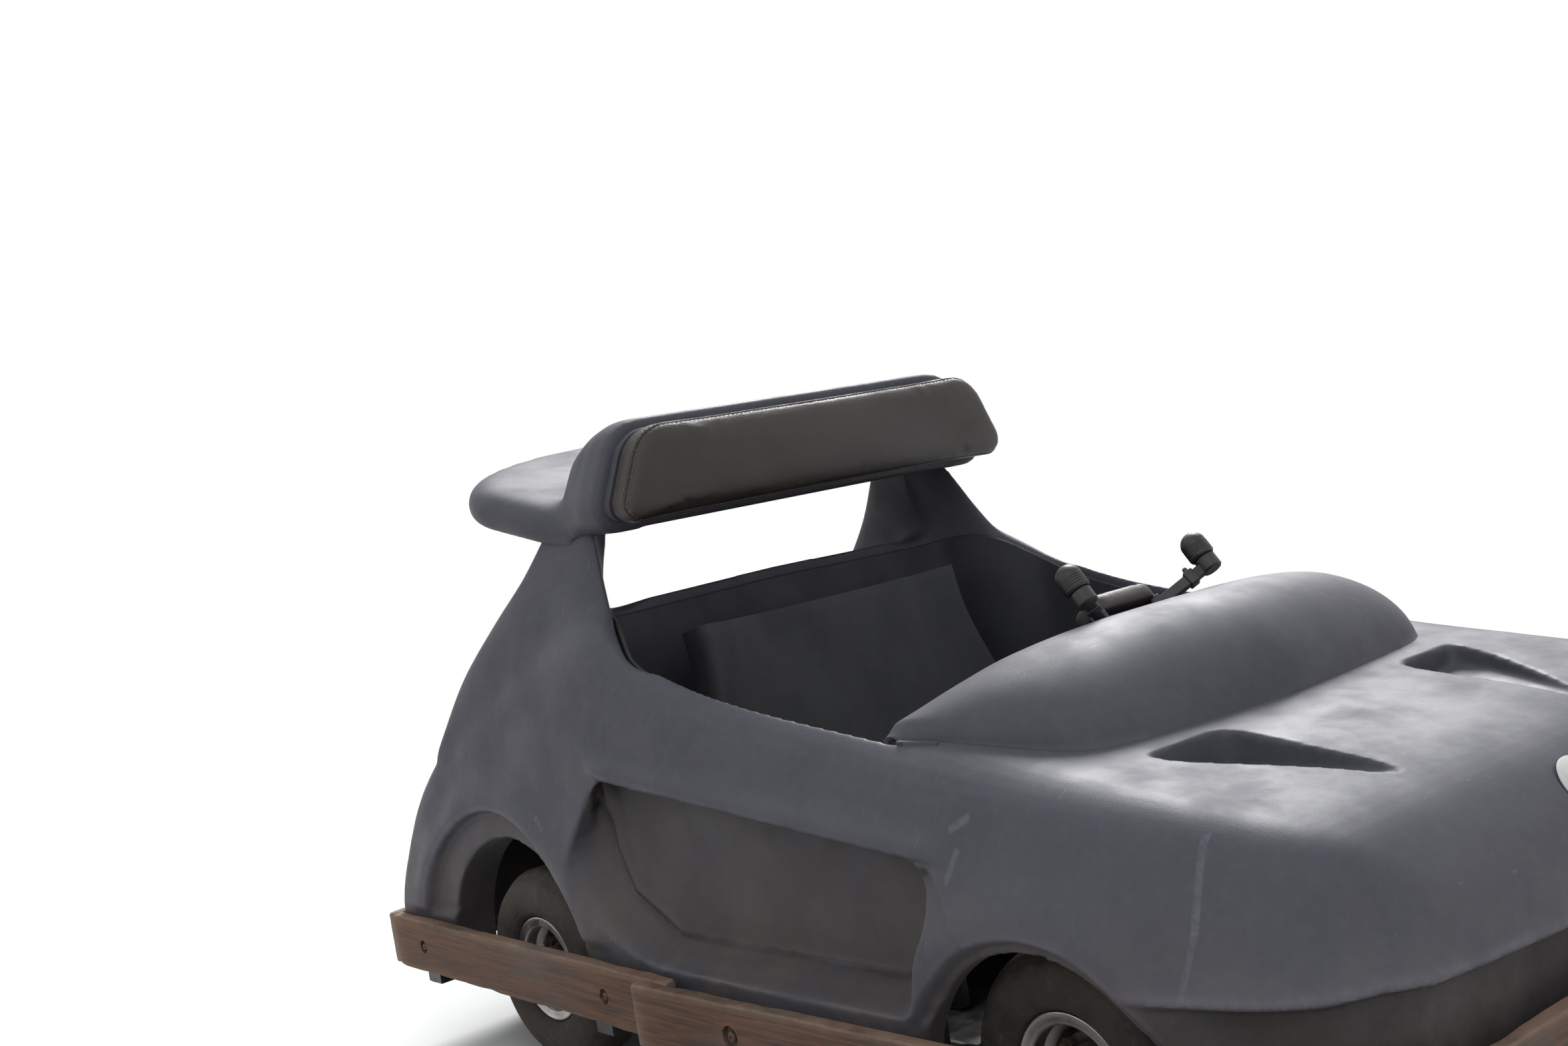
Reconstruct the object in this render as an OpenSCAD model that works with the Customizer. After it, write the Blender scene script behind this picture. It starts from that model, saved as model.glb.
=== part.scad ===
/* [Overall] */
// Distance between the front and the rear axle
wheelbase = 1010; // [960:5:1060]
// Rear axle to the outer face of the rear plank
rear_overhang = 365; // [355:1:395]
// Front axle to the outer face of the front plank
front_overhang = 425; // [418:1:460]
// Wheel centre plane to wheel centre plane
track = 760; // [750:1:770]

/* [Wheels] */
// Outside diameter of the tyre
tyre_od = 284; // [276:1:288]
// Width of the tyre at its widest
tyre_w = 94; // [84:1:100]
// Diameter of the seat that the tyre's bead sits on
bead_d = 127; // [120:1:132]
// Diameter of the rolled lip of the rim
lip_d = 151; // [146:1:156]
// Thickness of the pressed steel of the rim
rim_t = 3; // [2:0.5:4]
// Diameter of the front stub axles
stub_d = 25; // [20:1:28]
// Diameter of the live rear axle
rear_shaft_d = 30; // [25:1:34]

/* [Body shell] */
// Wall of the moulded body
wall = 8; // [5:0.5:10]
// Height of the body's lower edge above the ground
skirt_z = 150; // [146:1:156]
// Radius of the rear wheel arch opening
rear_arch_r = 190; // [180:1:195]
// Radius of the front wheel arch opening
front_arch_r = 178; // [172:1:182]
// Width of the flat lip round each wheel arch
arch_lip_w = 42; // [25:1:50]
// How far the arch lip stands proud of the side
arch_lip_out = 12; // [6:1:16]
// Half width of the cockpit opening
cockpit_half_w = 402; // [380:1:405]
// Depth of the recess in each side
recess_depth = 62; // [30:1:70]

/* [Headrest] */
// Width of the headrest pad
pad_w = 730; // [640:5:760]
// Height of the headrest pad
pad_h = 142; // [110:1:165]
// Thickness of the headrest pad
pad_t = 56; // [40:1:70]
// Height of the headrest pad's lower edge above the ground
pad_z = 750; // [745:1:765]
// Thickness of the spoiler wing
wing_t = 56; // [40:1:64]

/* [Bumper] */
// Height of each wooden plank
plank_h = 80; // [60:1:90]
// Thickness of each wooden plank
plank_t = 20; // [14:1:24]
// Height of the planks' lower edge above the ground
plank_z = 125; // [118:1:135]

/* [Chassis] */
// Side of the square steel tube
tube = 40; // [30:1:44]
// Height of the rails' lower face above the ground
rail_z = 85; // [75:1:88]
// Distance of each rail's centre from the middle of the car
rail_y = 220; // [200:1:225]

/* [Steering] */
// Distance of each kingpin from the middle of the car
kingpin_y = 300; // [290:1:305]
// Diameter of the kingpins
kingpin_d = 16; // [12:1:20]
// Length of each steering arm and of the drop arm
arm_l = 80; // [70:1:90]
// Slope of the steering column below the horizontal
column_angle = 53; // [50:1:54]
// Diameter of the steering column
column_d = 20; // [16:1:24]
// Running clearance round every turning shaft
run_gap = 0.05; // [0.02:0.01:0.1]

/* [Hidden] */
$fn = 48;

seat_gap = 0.3;
overall_l = rear_overhang + wheelbase + front_overhang;
rear_x = -overall_l / 2 + rear_overhang;
front_x = rear_x + wheelbase;
axle_z = tyre_od / 2;
wheel_y = track / 2;
rail_top = rail_z + tube;

plastic = [0.30, 0.32, 0.36];
wood = [0.36, 0.25, 0.18];
steel = [0.55, 0.55, 0.55];
rubber = [0.16, 0.15, 0.14];
black = [0.08, 0.08, 0.09];

// A distance ahead of the rear axle, as an x in the part's frame. The distances are those
// of a wheelbase of 1010: a longer or shorter one is taken up between 300 and 700, so that
// everything ahead of the cockpit keeps its place by the front axle
base_0 = 1010;
stretch = wheelbase - base_0;
function ahead(d) = rear_x + d + stretch * max(0, min(1, (d - 300) / 400));

// Body sections from the tail to the nose. Columns:
// distance ahead of the rear axle, half width at the skirt, half width at the waist,
// waist height, half width at the shoulder, shoulder height, crown height, skirt height
BODY = [
    [-343, 440, 460, 222, 380, 325, 340, 160],
    [-330, 446, 462, 232, 400, 366, 382, 150],
    [-290, 447, 462, 250, 408, 428, 446, 150],
    [-200, 447, 461, 275, 404, 500, 514, 150],
    [-100, 448, 459, 300, 405, 556, 570, 150],
    [   0, 450, 458, 330, 406, 600, 612, 150],
    [ 110, 454, 462, 345, 412, 634, 642, 150],
    [ 220, 460, 470, 345, 420, 652, 656, 150],
    [ 300, 464, 476, 345, 426, 621, 627, 150],
    [ 360, 468, 480, 345, 428, 594, 602, 150],
    [ 430, 472, 484, 345, 428, 571, 580, 150],
    [ 520, 477, 488, 345, 428, 549, 560, 150],
    [ 640, 482, 493, 340, 428, 528, 542, 150],
    [ 800, 487, 499, 335, 428, 504, 518, 150],
    [ 950, 490, 503, 325, 424, 472, 490, 150],
    [1080, 491, 504, 315, 420, 448, 468, 150],
    [1190, 489, 502, 305, 412, 428, 446, 150],
    [1270, 480, 492, 296, 396, 406, 422, 150],
    [1330, 455, 468, 288, 364, 385, 403, 150],
    [1372, 418, 438, 280, 325, 355, 373, 150],
    [1398, 378, 404, 274, 290, 324, 339, 160],
    [1408, 350, 388, 268, 268, 296, 304, 160]
];
BODY_L = ahead(BODY[len(BODY) - 1][0]) - ahead(BODY[0][0]);
BODY_MID = (ahead(BODY[len(BODY) - 1][0]) + ahead(BODY[0][0])) / 2;
CORNER_STEPS = 4;

// A corner of an outline, rounded as a curve from side a through b to side c
function bend(a, b, c, r) =
    let (p = b + (a - b) * min(0.5, r / norm(a - b)), q = b + (c - b) * min(0.5, r / norm(c - b)))
    [for (i = [0:CORNER_STEPS]) let (t = i / CORNER_STEPS)
        (1 - t) * (1 - t) * p + 2 * t * (1 - t) * b + t * t * q];

// Half outline of a body section in [y, z], shrunk by an inset
function half_section(s, inset, foot) =
    let (low = [s[1] - inset, foot], mid = [s[2] - inset, s[3]],
         top = [s[4] - inset, s[5] - inset], crown = [0, s[6] - inset])
    concat([low], bend(low, mid, top, 60), bend(mid, top, crown, 90), [crown]);

function mirrored(half) = concat(half, [for (i = [len(half) - 2:-1:0]) [-half[i][0], half[i][1]]]);

// One thin slice of the body, standing across the car
module slice(s, inset, foot) {
    shrink = (BODY_L - 2 * inset) / BODY_L;
    translate([BODY_MID + (ahead(s[0]) - BODY_MID) * shrink, 0, 0])
        rotate([90, 0, 90]) linear_extrude(0.5)
            polygon(mirrored(half_section(s, inset, foot)));
}

// The body's outside, or with an inset the hollow inside it
module body_form(inset = 0) {
    for (i = [0:len(BODY) - 2])
        hull() {
            slice(BODY[i], inset, inset > 0 ? 0 : BODY[i][7]);
            slice(BODY[i + 1], inset, inset > 0 ? 0 : BODY[i + 1][7]);
        }
}

// Cockpit opening in plan: distance ahead, half width and corner radius of its corners
COCKPIT = [[205, 340, 60], [330, cockpit_half_w, 75], [788, cockpit_half_w, 60]];
module cockpit_plan(grow = 0) {
    hull() for (side = [-1, 1], c = COCKPIT)
        translate([ahead(c[0]), side * (c[1] - c[2])]) circle(c[2] + grow, $fn = 40);
}

// Recess in the side: outer outline in [distance ahead, height], then the deeper inner one
RECESS_OUT = [[278, 430], [888, 384], [898, 342], [860, 222], [350, 214], [256, 238], [166, 302]];
RECESS_IN = [[290, 424], [872, 376], [880, 340], [846, 246], [378, 244], [264, 290]];
module recess_plate(points, y, r) {
    translate([0, y, 0]) rotate([90, 0, 0]) linear_extrude(1)
        hull() for (p = points) translate([ahead(p[0]), p[1]]) circle(r, $fn = 16);
}
module recess(side, grow = 0) {
    mirror([0, side > 0 ? 0 : 1, 0]) hull() {
        recess_plate(RECESS_OUT, 520, 14 + grow);
        recess_plate(RECESS_OUT, 474, 14 + grow);
        recess_plate(RECESS_IN, 480 - recess_depth - grow, 10 + grow);
    }
}

// Hood scoop: a wedge that is deep at the rear edge and runs out to a point ahead
module scoop(side, grow = 0) {
    mirror([0, side > 0 ? 0 : 1, 0]) hull() {
        translate([ahead(1066), 225, 470]) cube([2, 118 + 2 * grow, 60], center = true);
        translate([ahead(1072), 225, 438 - grow]) cube([4, 96 + 2 * grow, 2], center = true);
        translate([ahead(1290), 172, 470]) cube([6, 6, 60], center = true);
    }
}

// Wheel arches: distance ahead, centre height, opening radius, half width at the lip
ARCHES = [[-2, 150, rear_arch_r, 445], [1042, 125, front_arch_r, 500]];
module arch_cylinder(a, r, y0, y1) {
    for (side = [-1, 1])
        translate([ahead(a[0]), side * (y0 + y1) / 2, a[1]])
            rotate([90, 0, 0]) cylinder(h = y1 - y0, r = r, center = true, $fn = 64);
}

// Rear pillar sections: height, distance ahead of its rear edge and of its front edge,
// half width inside and outside
PILLAR = [[470, -230, 318, 340, 416], [560, -152, 312, 332, 408], [640, -62, 302, 318, 388],
    [700, 4, 286, 300, 364], [768, 58, 262, 282, 338]];
module pillar(side) {
    for (i = [0:len(PILLAR) - 2])
        hull() for (p = [PILLAR[i], PILLAR[i + 1]])
            translate([0, 0, p[0]]) linear_extrude(1) hull() {
                translate([ahead(p[1] + 20), side * (p[4] - 20)]) circle(20, $fn = 20);
                translate([ahead(p[1] + 30), side * (p[3] + 25)]) circle(25, $fn = 20);
                translate([ahead(p[2] - 20), side * (p[3] + 20)]) circle(20, $fn = 20);
                translate([ahead(p[2] - 75), side * (p[4] - 20)]) circle(20, $fn = 20);
            }
}

module body_solid() {
    union() {
        difference() {
            body_form();
            body_form(wall);
        }
        intersection() {
            body_form();
            union() for (side = [-1, 1]) {
                recess(side, wall);
                scoop(side, wall);
            }
        }
        for (side = [-1, 1]) pillar(side);
        intersection() {
            difference() {
                for (a = ARCHES) arch_cylinder(a, a[2] + arch_lip_w, a[3] - 30, a[3] + arch_lip_out);
                for (a = ARCHES) arch_cylinder([a[0], a[1]], a[2], 300, 600);
            }
            translate([ahead(-400), -600, skirt_z]) cube([2000, 1200, 400]);
        }
    }
}

module body_shell() {
    color(plastic) difference() {
        body_solid();
        for (side = [-1, 1]) {
            recess(side);
            scoop(side);
        }
        for (a = ARCHES) arch_cylinder(a, a[2], 330, 600);
        translate([0, 0, 300]) linear_extrude(600) cockpit_plan();
        for (z = [-seat_gap, 0]) translate([0, 0, z]) {
            wing();
            hump();
        }
        disc_place() cylinder(h = 60, r = disc_r + 1);
        column_tunnel();
    }
}

module column_tunnel() {
    translate([ahead(780), -60, 380]) cube([180, 120, 160]);
}

// Cowl sections over the hood: distance ahead, half width and height of the foot,
// height at the shoulder and in the middle. Its rear lip is cut to a curve in plan
COWL = [[780, 398, 494, 535, 544], [838, 394, 490, 549, 556], [890, 384, 480, 568, 582],
    [930, 368, 474, 566, 581], [965, 350, 468, 550, 566], [1000, 325, 464, 521, 540],
    [1030, 270, 462, 483, 505], [1052, 206, 461, 463, 476]];
cowl_shoulder = 200;
lip_mid = 838;
lip_curve = 1450;
module cowl_form(inset = 0) {
    for (i = [0:len(COWL) - 2])
        hull() for (c = [COWL[i], COWL[i + 1]])
            translate([ahead(c[0]), 0, 0]) rotate([90, 0, 90]) linear_extrude(1)
                polygon(mirrored(concat([[c[1] - inset, 380]],
                    bend([c[1] - inset, 380], [c[1] - inset, c[2] - inset], [cowl_shoulder, c[3] - inset], 30),
                    bend([c[1] - inset, c[2] - inset], [cowl_shoulder, c[3] - inset], [0, c[4] - inset], 120),
                    [[0, c[4] - inset]])));
}
module cowl() {
    color(plastic) difference() {
        cowl_form();
        translate([-7, 0, 0]) cowl_form(wall);
        translate([0, 0, seat_gap]) body_form();
        translate([0, 0, 300]) linear_extrude(100) square(2000, center = true);
        translate([ahead(lip_mid) - lip_curve, 0, 300]) cylinder(h = 400, r = lip_curve, $fn = 360);
    }
}

// Spoiler wing: a flat tail with a half round rear edge, kicked up to the rear
wing_slope = 14;
wing_half_w = 372;
wing_depth = 222;
wing_front = 226;
wing_nose = 200;
wing_z = pad_z - 18;
module wing_layer(z, inset) {
    translate([0, 0, z]) linear_extrude(1) hull() {
        wing_plan_points(inset);
        for (side = [-1, 1]) translate([ahead(wing_nose - 60), side * (wing_half_w - 78)]) circle(60 - min(inset, 20), $fn = 32);
    }
}
module wing_plan_points(inset) {
    polygon([for (i = [0:40]) let (a = 90 + i * 4.5)
        [ahead(-50) + (wing_depth - inset) * cos(a), (wing_half_w - inset) * sin(a)]]);
}
module wing() {
    difference() {
        translate([ahead(wing_front), 0, wing_z]) rotate([0, wing_slope, 0]) translate([-ahead(wing_front), 0, 0])
            hull() {
                wing_layer(-wing_t / 2, 26);
                wing_layer(-wing_t / 4, 6);
                wing_layer(0, 0);
                wing_layer(wing_t / 4, 4);
                wing_layer(wing_t / 2 - 1, 24);
            }
        translate([ahead(0), -296, 500]) cube([400, 592, pad_z - 498]);
    }
}

// Outline of the headrest in [y, z]: large upper corners, small lower ones
module headrest_outline(inset = 0) {
    hull() for (side = [-1, 1]) {
        translate([side * (pad_w / 2 - 30), pad_z + 34]) circle(30 - inset, $fn = 32);
        translate([side * (pad_w / 2 - 90), pad_z + pad_h - 68]) circle(68 - inset, $fn = 32);
    }
}
hump_face = 258;
module headrest_plate(x, inset, t = 1) {
    translate([ahead(x), 0, 0]) rotate([90, 0, 90]) linear_extrude(t) headrest_outline(inset);
}
module hump() {
    hull() {
        headrest_plate(hump_face - 28, -6, 10);
        headrest_plate(hump_face - 38, 2, 1);
        translate([ahead(72), 0, 802]) rotate([90, 0, 90]) linear_extrude(1) square([548, 40], center = true);
    }
    hull() {
        headrest_plate(hump_face - 24, 10, 24);
        headrest_plate(hump_face - 29, 5, 2);
    }
}
module spoiler() {
    color(plastic) union() {
        wing();
        hump();
    }
}

pad_back = hump_face + seat_gap;
module headrest_pad() {
    color(black) hull() {
        headrest_plate(pad_back, 8);
        headrest_plate(pad_back + 10, 0);
        headrest_plate(pad_back + pad_t - 14, 0);
        headrest_plate(pad_back + pad_t - 1, 10);
    }
}

// Floor pan profile in [distance ahead, height]
floor_t = 3;
FLOOR = [[170, rail_top], [800, rail_top], [850, 172], [1135, 172], [1275, 330]];
module floor_strip(w) {
    translate([0, w / 2, 0]) rotate([90, 0, 0]) linear_extrude(w)
        polygon(concat([for (p = FLOOR) [ahead(p[0]), p[1]]],
            [for (i = [len(FLOOR) - 1:-1:0]) [ahead(FLOOR[i][0]) - (i > 3 ? floor_t : 0), FLOOR[i][1] + floor_t]]));
}
module floor_pan() {
    color(steel) difference() {
        union() {
            intersection() {
                floor_strip(700);
                translate([ahead(170), -350, 0]) cube([ahead(800) - ahead(170), 700, 400]);
            }
            intersection() {
                floor_strip(480);
                translate([ahead(700), -300, 0]) cube([700, 600, 400]);
            }
        }
        translate([ahead(975), -52, 100]) cube([200, 104, 200]);
    }
}

// Cockpit tub: side and rear walls that hang from the cockpit's rim down to the floor
tub_t = 6;
module cockpit_tub() {
    color(plastic) difference() {
        intersection() {
            body_form();
            translate([0, 0, rail_top + floor_t + seat_gap]) linear_extrude(700) difference() {
                cockpit_plan(-seat_gap);
                cockpit_plan(-seat_gap - tub_t);
            }
        }
        translate([ahead(700), -260, 0]) cube([300, 520, 800]);
        translate([ahead(804), -500, 0]) cube([300, 1000, 300]);
    }
}

// Seat: side profile in [distance ahead, height] of its upper face
seat_t = 12;
seat_foot = rail_top + floor_t + seat_gap;
seat_w = 560;
SEAT = [[232, 600], [262, 480], [300, 350], [345, 262], [420, 228], [560, 232], [690, 262], [716, 240]];
module seat() {
    color(plastic) union() {
        for (i = [0:len(SEAT) - 2])
            hull() for (p = [SEAT[i], SEAT[i + 1]])
                translate([ahead(p[0]), 0, p[1]]) rotate([90, 0, 0])
                    cylinder(h = seat_w - (p[1] > 500 ? 90 : 0), d = seat_t, center = true, $fn = 16);
        for (side = [-1, 1]) hull() {
            translate([ahead(360), side * (seat_w / 2 - 6), seat_foot + 5]) cube([60, 12, 10], center = true);
            translate([ahead(700), side * (seat_w / 2 - 6), seat_foot + 5]) cube([20, 12, 10], center = true);
            translate([ahead(345), side * (seat_w / 2 - 6), 262]) cube([30, 12, 8], center = true);
            translate([ahead(560), side * (seat_w / 2 - 6), 230]) cube([20, 12, 8], center = true);
            translate([ahead(690), side * (seat_w / 2 - 6), 255]) cube([20, 12, 8], center = true);
        }
    }
}

// Bumper planks on the right side: from, to, in [distance ahead, distance from the middle]
front_in = base_0 + front_overhang - plank_t;
side_y = 532;
REAR_SIDE = [[-345, 475], [430, 511]];
FRONT_SIDE = [[385, side_y], [1327, side_y]];
CORNER = [[1344, 528], [1431, 408]];
function placed(p) = [ahead(p[0]), p[1]];
module plank(line, side, over = 0) {
    a = placed(line[0]);
    b = placed(line[1]);
    len_ab = norm(b - a);
    mirror([0, side > 0 ? 0 : 1, 0])
        translate([a[0], a[1], plank_z]) rotate([0, 0, atan2(b[1] - a[1], b[0] - a[0])])
            translate([-over, -plank_t, 0]) cube([len_ab + 2 * over, plank_t, plank_h]);
}
module bumper_side_rear(side) { color(wood) plank(REAR_SIDE, side); }
module bumper_side_front(side) { color(wood) plank(FRONT_SIDE, side); }
module bumper_corner(side) { color(wood) plank(CORNER, side); }
module bumper_front() {
    color(wood) translate([ahead(front_in), -395, plank_z]) cube([plank_t, 790, plank_h]);
}
module bumper_rear() {
    color(wood) translate([ahead(-rear_overhang), -470, plank_z]) cube([plank_t, 940, plank_h]);
}

// Outriggers from the rails to the planks: distance ahead, reach to the plank's inner face
tab_t = 6;
OUTRIGGERS = [[-270, REAR_SIDE], [230, REAR_SIDE], [520, FRONT_SIDE], [790, FRONT_SIDE], [1290, FRONT_SIDE]];
function along(line, d) = (ahead(d) - ahead(line[0][0])) / (ahead(line[1][0]) - ahead(line[0][0]));
function inner_y(line, d) = line[0][1] + (line[1][1] - line[0][1]) * along(line, d) - plank_t;

// A tab flat against a plank's inner face, part of the way along it
module tab(line, part) {
    a = placed(line[0]);
    b = placed(line[1]);
    translate([a[0], a[1], plank_z - 24]) rotate([0, 0, atan2(b[1] - a[1], b[0] - a[0])])
        translate([part * norm(b - a) - 20, -plank_t - tab_t, 0]) cube([40, tab_t, plank_h - 6]);
}
module outrigger(o, side) {
    y = inner_y(o[1], o[0]);
    mirror([0, side > 0 ? 0 : 1, 0]) {
        translate([ahead(o[0]) - 15, rail_y, rail_top - 26]) cube([30, y - rail_y - tab_t / 2, 26]);
        translate([ahead(o[0]) - 15, y - 46, rail_top - 1]) cube([30, 46 - tab_t / 2, skirt_z - rail_top + 1 - seat_gap]);
        tab(o[1], along(o[1], o[0]));
    }
}
module corner_arm(side) {
    mirror([0, side > 0 ? 0 : 1, 0]) {
        tab(CORNER, 0.5);
        hull() {
            translate([ahead(1330), rail_y, rail_top - 24]) cylinder(h = 24, r = 12);
            translate([ahead(1368), 450, rail_top - 24]) cylinder(h = 24, r = 12);
        }
    }
}
// Lashing holes at the four corners of the frame, for bolting the car down in transport
lash_r = 6.5;
lash_y = 180;
module chassis_frame() {
    color(black) difference() {
        frame_tubes();
        for (x = [-345, 1310], side = [-1, 1])
            translate([ahead(x) + tube / 2, side * lash_y, 0]) cylinder(h = 300, r = lash_r);
    }
}
module frame_tubes() {
    union() {
        for (side = [-1, 1]) {
            translate([ahead(-345), side * rail_y - tube / 2, rail_z]) cube([ahead(front_in - 60) - ahead(-345), tube, tube]);
            for (o = OUTRIGGERS) outrigger(o, side);
            corner_arm(side);
            translate([ahead(front_in - 66), side * 120 - 20, plank_z - 8]) cube([66, 40, 40]);
        }
        for (x = [-345, 170, 620, 1310])
            translate([ahead(x), -rail_y, rail_z]) cube([tube, 2 * rail_y, tube]);
        translate([ahead(1310), -150, rail_z]) cube([tube, 300, 92]);
    }
}

// Front axle beam with the forks that hold the kingpins
fork_h = 52;
beam_z = rail_top;
beam_h = 32;
module front_axle_beam() {
    color(black) difference() {
        union() {
            translate([front_x - 15, -kingpin_y + 34, beam_z]) cube([30, 2 * (kingpin_y - 34), beam_h]);
            for (side = [-1, 1]) {
                for (z = [axle_z - fork_h / 2 - 8, axle_z + fork_h / 2])
                    hull() {
                        translate([front_x, side * kingpin_y, z]) cylinder(h = 8, r = 17);
                        translate([front_x - 15, side * (kingpin_y - 40) - 3, z]) cube([30, 6, 8]);
                    }
                translate([front_x - 15, side * (kingpin_y - 40) - 6, axle_z - fork_h / 2 - 8])
                    cube([30, 12, fork_h + 16]);
                translate([front_x, side * kingpin_y, axle_z - fork_h / 2 - 14])
                    cylinder(h = fork_h + 28, d = kingpin_d);
            }
        }
    }
}

// Knuckle: kingpin sleeve, stub axle and steering arm
arm_z = axle_z + 8;
pin_d = 12;
link_x = front_x + arm_l;
module knuckle(side) {
    color(steel) difference() {
        union() {
            translate([front_x, side * kingpin_y, axle_z - fork_h / 2 + 1]) cylinder(h = fork_h - 2, r = 17);
            translate([front_x, side * kingpin_y, axle_z]) rotate([-90 * side, 0, 0])
                cylinder(h = wheel_y + 44 - kingpin_y, d = stub_d);
            hull() {
                translate([front_x, side * kingpin_y, arm_z]) cylinder(h = 8, r = 14);
                translate([link_x, side * kingpin_y, arm_z]) cylinder(h = 8, r = 13);
            }
        }
        translate([front_x, side * kingpin_y, 0]) cylinder(h = 400, r = kingpin_d / 2 + run_gap);
        translate([link_x, side * kingpin_y, 0]) cylinder(h = 400, r = pin_d / 2 + run_gap);
    }
}

// Tie rod across the car with its pins, and the lug that the drop arm moves
lug_l = 60;
rod_z = axle_z - 2;
module tie_rod() {
    color(steel) union() {
        translate([link_x, 0, rod_z]) rotate([90, 0, 0]) cylinder(h = 2 * kingpin_y - 16, d = 14, center = true);
        for (p = [[link_x, kingpin_y], [link_x, -kingpin_y], [link_x + lug_l, 0]]) {
            translate([p[0], p[1], rod_z - 8]) cylinder(h = 16, r = 12);
            translate([p[0], p[1], rod_z - 8]) cylinder(h = 29, d = pin_d);
        }
        translate([link_x, -9, rod_z - 6]) cube([lug_l, 18, 12]);
    }
}

gear_x = front_x + lug_l;
gear_top = 215;
module drop_arm() {
    color(steel) difference() {
        union() {
            hull() {
                translate([gear_x, 0, arm_z + 1]) cylinder(h = 8, r = 15);
                translate([gear_x + arm_l, 0, arm_z + 1]) cylinder(h = 8, r = 13);
            }
            translate([gear_x, 0, arm_z + 1]) cylinder(h = 30, d = 20);
        }
        translate([gear_x + arm_l, 0, 0]) cylinder(h = 400, r = pin_d / 2 + run_gap);
    }
}
module steering_gearbox() {
    color(steel) difference() {
        translate([front_x - 15, -45, beam_z + beam_h + 3]) cube([lug_l + 55, 90, gear_top - beam_z - beam_h - 3]);
        translate([gear_x, 0, 0]) cylinder(h = arm_z + 36, r = 10 + run_gap);
        column_place() translate([0, 0, -column_l - 2]) cylinder(h = column_l, r = column_d / 2 + run_gap);
    }
    color(steel) translate([front_x - 15, -45, beam_z + beam_h]) cube([30, 90, 3.5]);
}

// Steering column: its foot enters the steering gearbox, its local +z points up at the driver,
// and the yoke's centre is at 0
column_foot = [ahead(1079.8077), gear_top - 23.3928];
column_l = 445;
yoke_x = column_foot[0] - column_l * cos(column_angle);
yoke_z = column_foot[1] + column_l * sin(column_angle);
module column_place() {
    translate([yoke_x, 0, yoke_z]) rotate([0, -(90 - column_angle), 0]) children();
}
module steering_column() {
    color(steel) column_place() translate([0, 0, -column_l]) cylinder(h = column_l - 12, d = column_d);
}
support_d = 160;
module column_support() {
    color(black) difference() {
        union() {
            column_place() translate([0, 0, -support_d - 25]) cylinder(h = 50, r = column_d / 2 + 7);
            for (side = [-1, 1]) hull() {
                column_place() translate([0, side * 10, -support_d]) sphere(d = 16, $fn = 20);
                translate([ahead(905), side * 55, 185]) sphere(d = 16, $fn = 20);
            }
            translate([ahead(885), -80, 175]) cube([40, 160, 6]);
        }
        column_place() translate([0, 0, -600]) cylinder(h = 700, r = column_d / 2 + run_gap);
    }
}

// Yoke: a hub bar with two square rods that rise outwards to the grips
hub_half = 50;
rod_side = 14;
grip_y = 118;
grip_up = 64;
grip_lift = 12;
module yoke_bar() {
    color(black) column_place() union() {
        translate([0, 0, -12]) cylinder(h = 14, r = 15);
        translate([0, 0, 6]) cube([rod_side + 6, 2 * hub_half, 14], center = true);
        for (side = [-1, 1]) hull() {
            translate([0, side * (hub_half - 6), 3]) cube([rod_side, rod_side, rod_side], center = true);
            translate([grip_up, side * grip_y, 3 + grip_lift]) cube([rod_side, rod_side, rod_side], center = true);
        }
        for (side = [-1, 1]) translate([grip_up, side * grip_y, grip_lift - 6]) cylinder(h = 20, r = 14);
    }
}
module yoke_pad() {
    color(black) column_place() translate([-4, 0, 13 + seat_gap]) hull()
        for (sx = [-1, 1], sy = [-1, 1]) {
            translate([sx * 15, sy * 40, 0]) cylinder(h = 14, r = 14, $fn = 24);
            translate([sx * 12, sy * 37, 20]) sphere(r = 9, $fn = 20);
        }
}
module grip(side) {
    color(black) column_place() translate([grip_up, side * grip_y, grip_lift + 14 + seat_gap]) union() {
        cylinder(h = 20, r = 17);
        translate([0, 0, 20]) difference() {
            sphere(r = 17);
            translate([-20, -20, -40]) cube([40, 40, 40]);
        }
    }
}

// Tyre section in [radius, distance from the centre plane]: bead, side wall and tread
bead_r = bead_d / 2;
lip_r = lip_d / 2;
bead_half = tyre_w / 2 - 12;
side_r = (lip_r + tyre_od / 2 - 10) / 2;
function tyre_half() =
    concat([[bead_r + 0.4, bead_half], [lip_r + 1, bead_half]],
        [for (a = [-65:13:65]) [side_r + (side_r - lip_r - 1) * sin(a) * 1.02, tyre_w / 2 - 11 + 11 * cos(a)]],
        [for (t = [0.25:0.25:1]) [tyre_od / 2 - 12 * (1 - t) * (1 - t), (tyre_w / 2 - 10) * (1 - t * 0.55)]]);
module tyre(x, y) {
    half = tyre_half();
    color(rubber) translate([x, y, axle_z]) rotate([90, 0, 0]) rotate_extrude($fn = 96)
        polygon(concat(half, [for (i = [len(half) - 1:-1:0]) [half[i][0], -half[i][1]]]));
}

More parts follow.
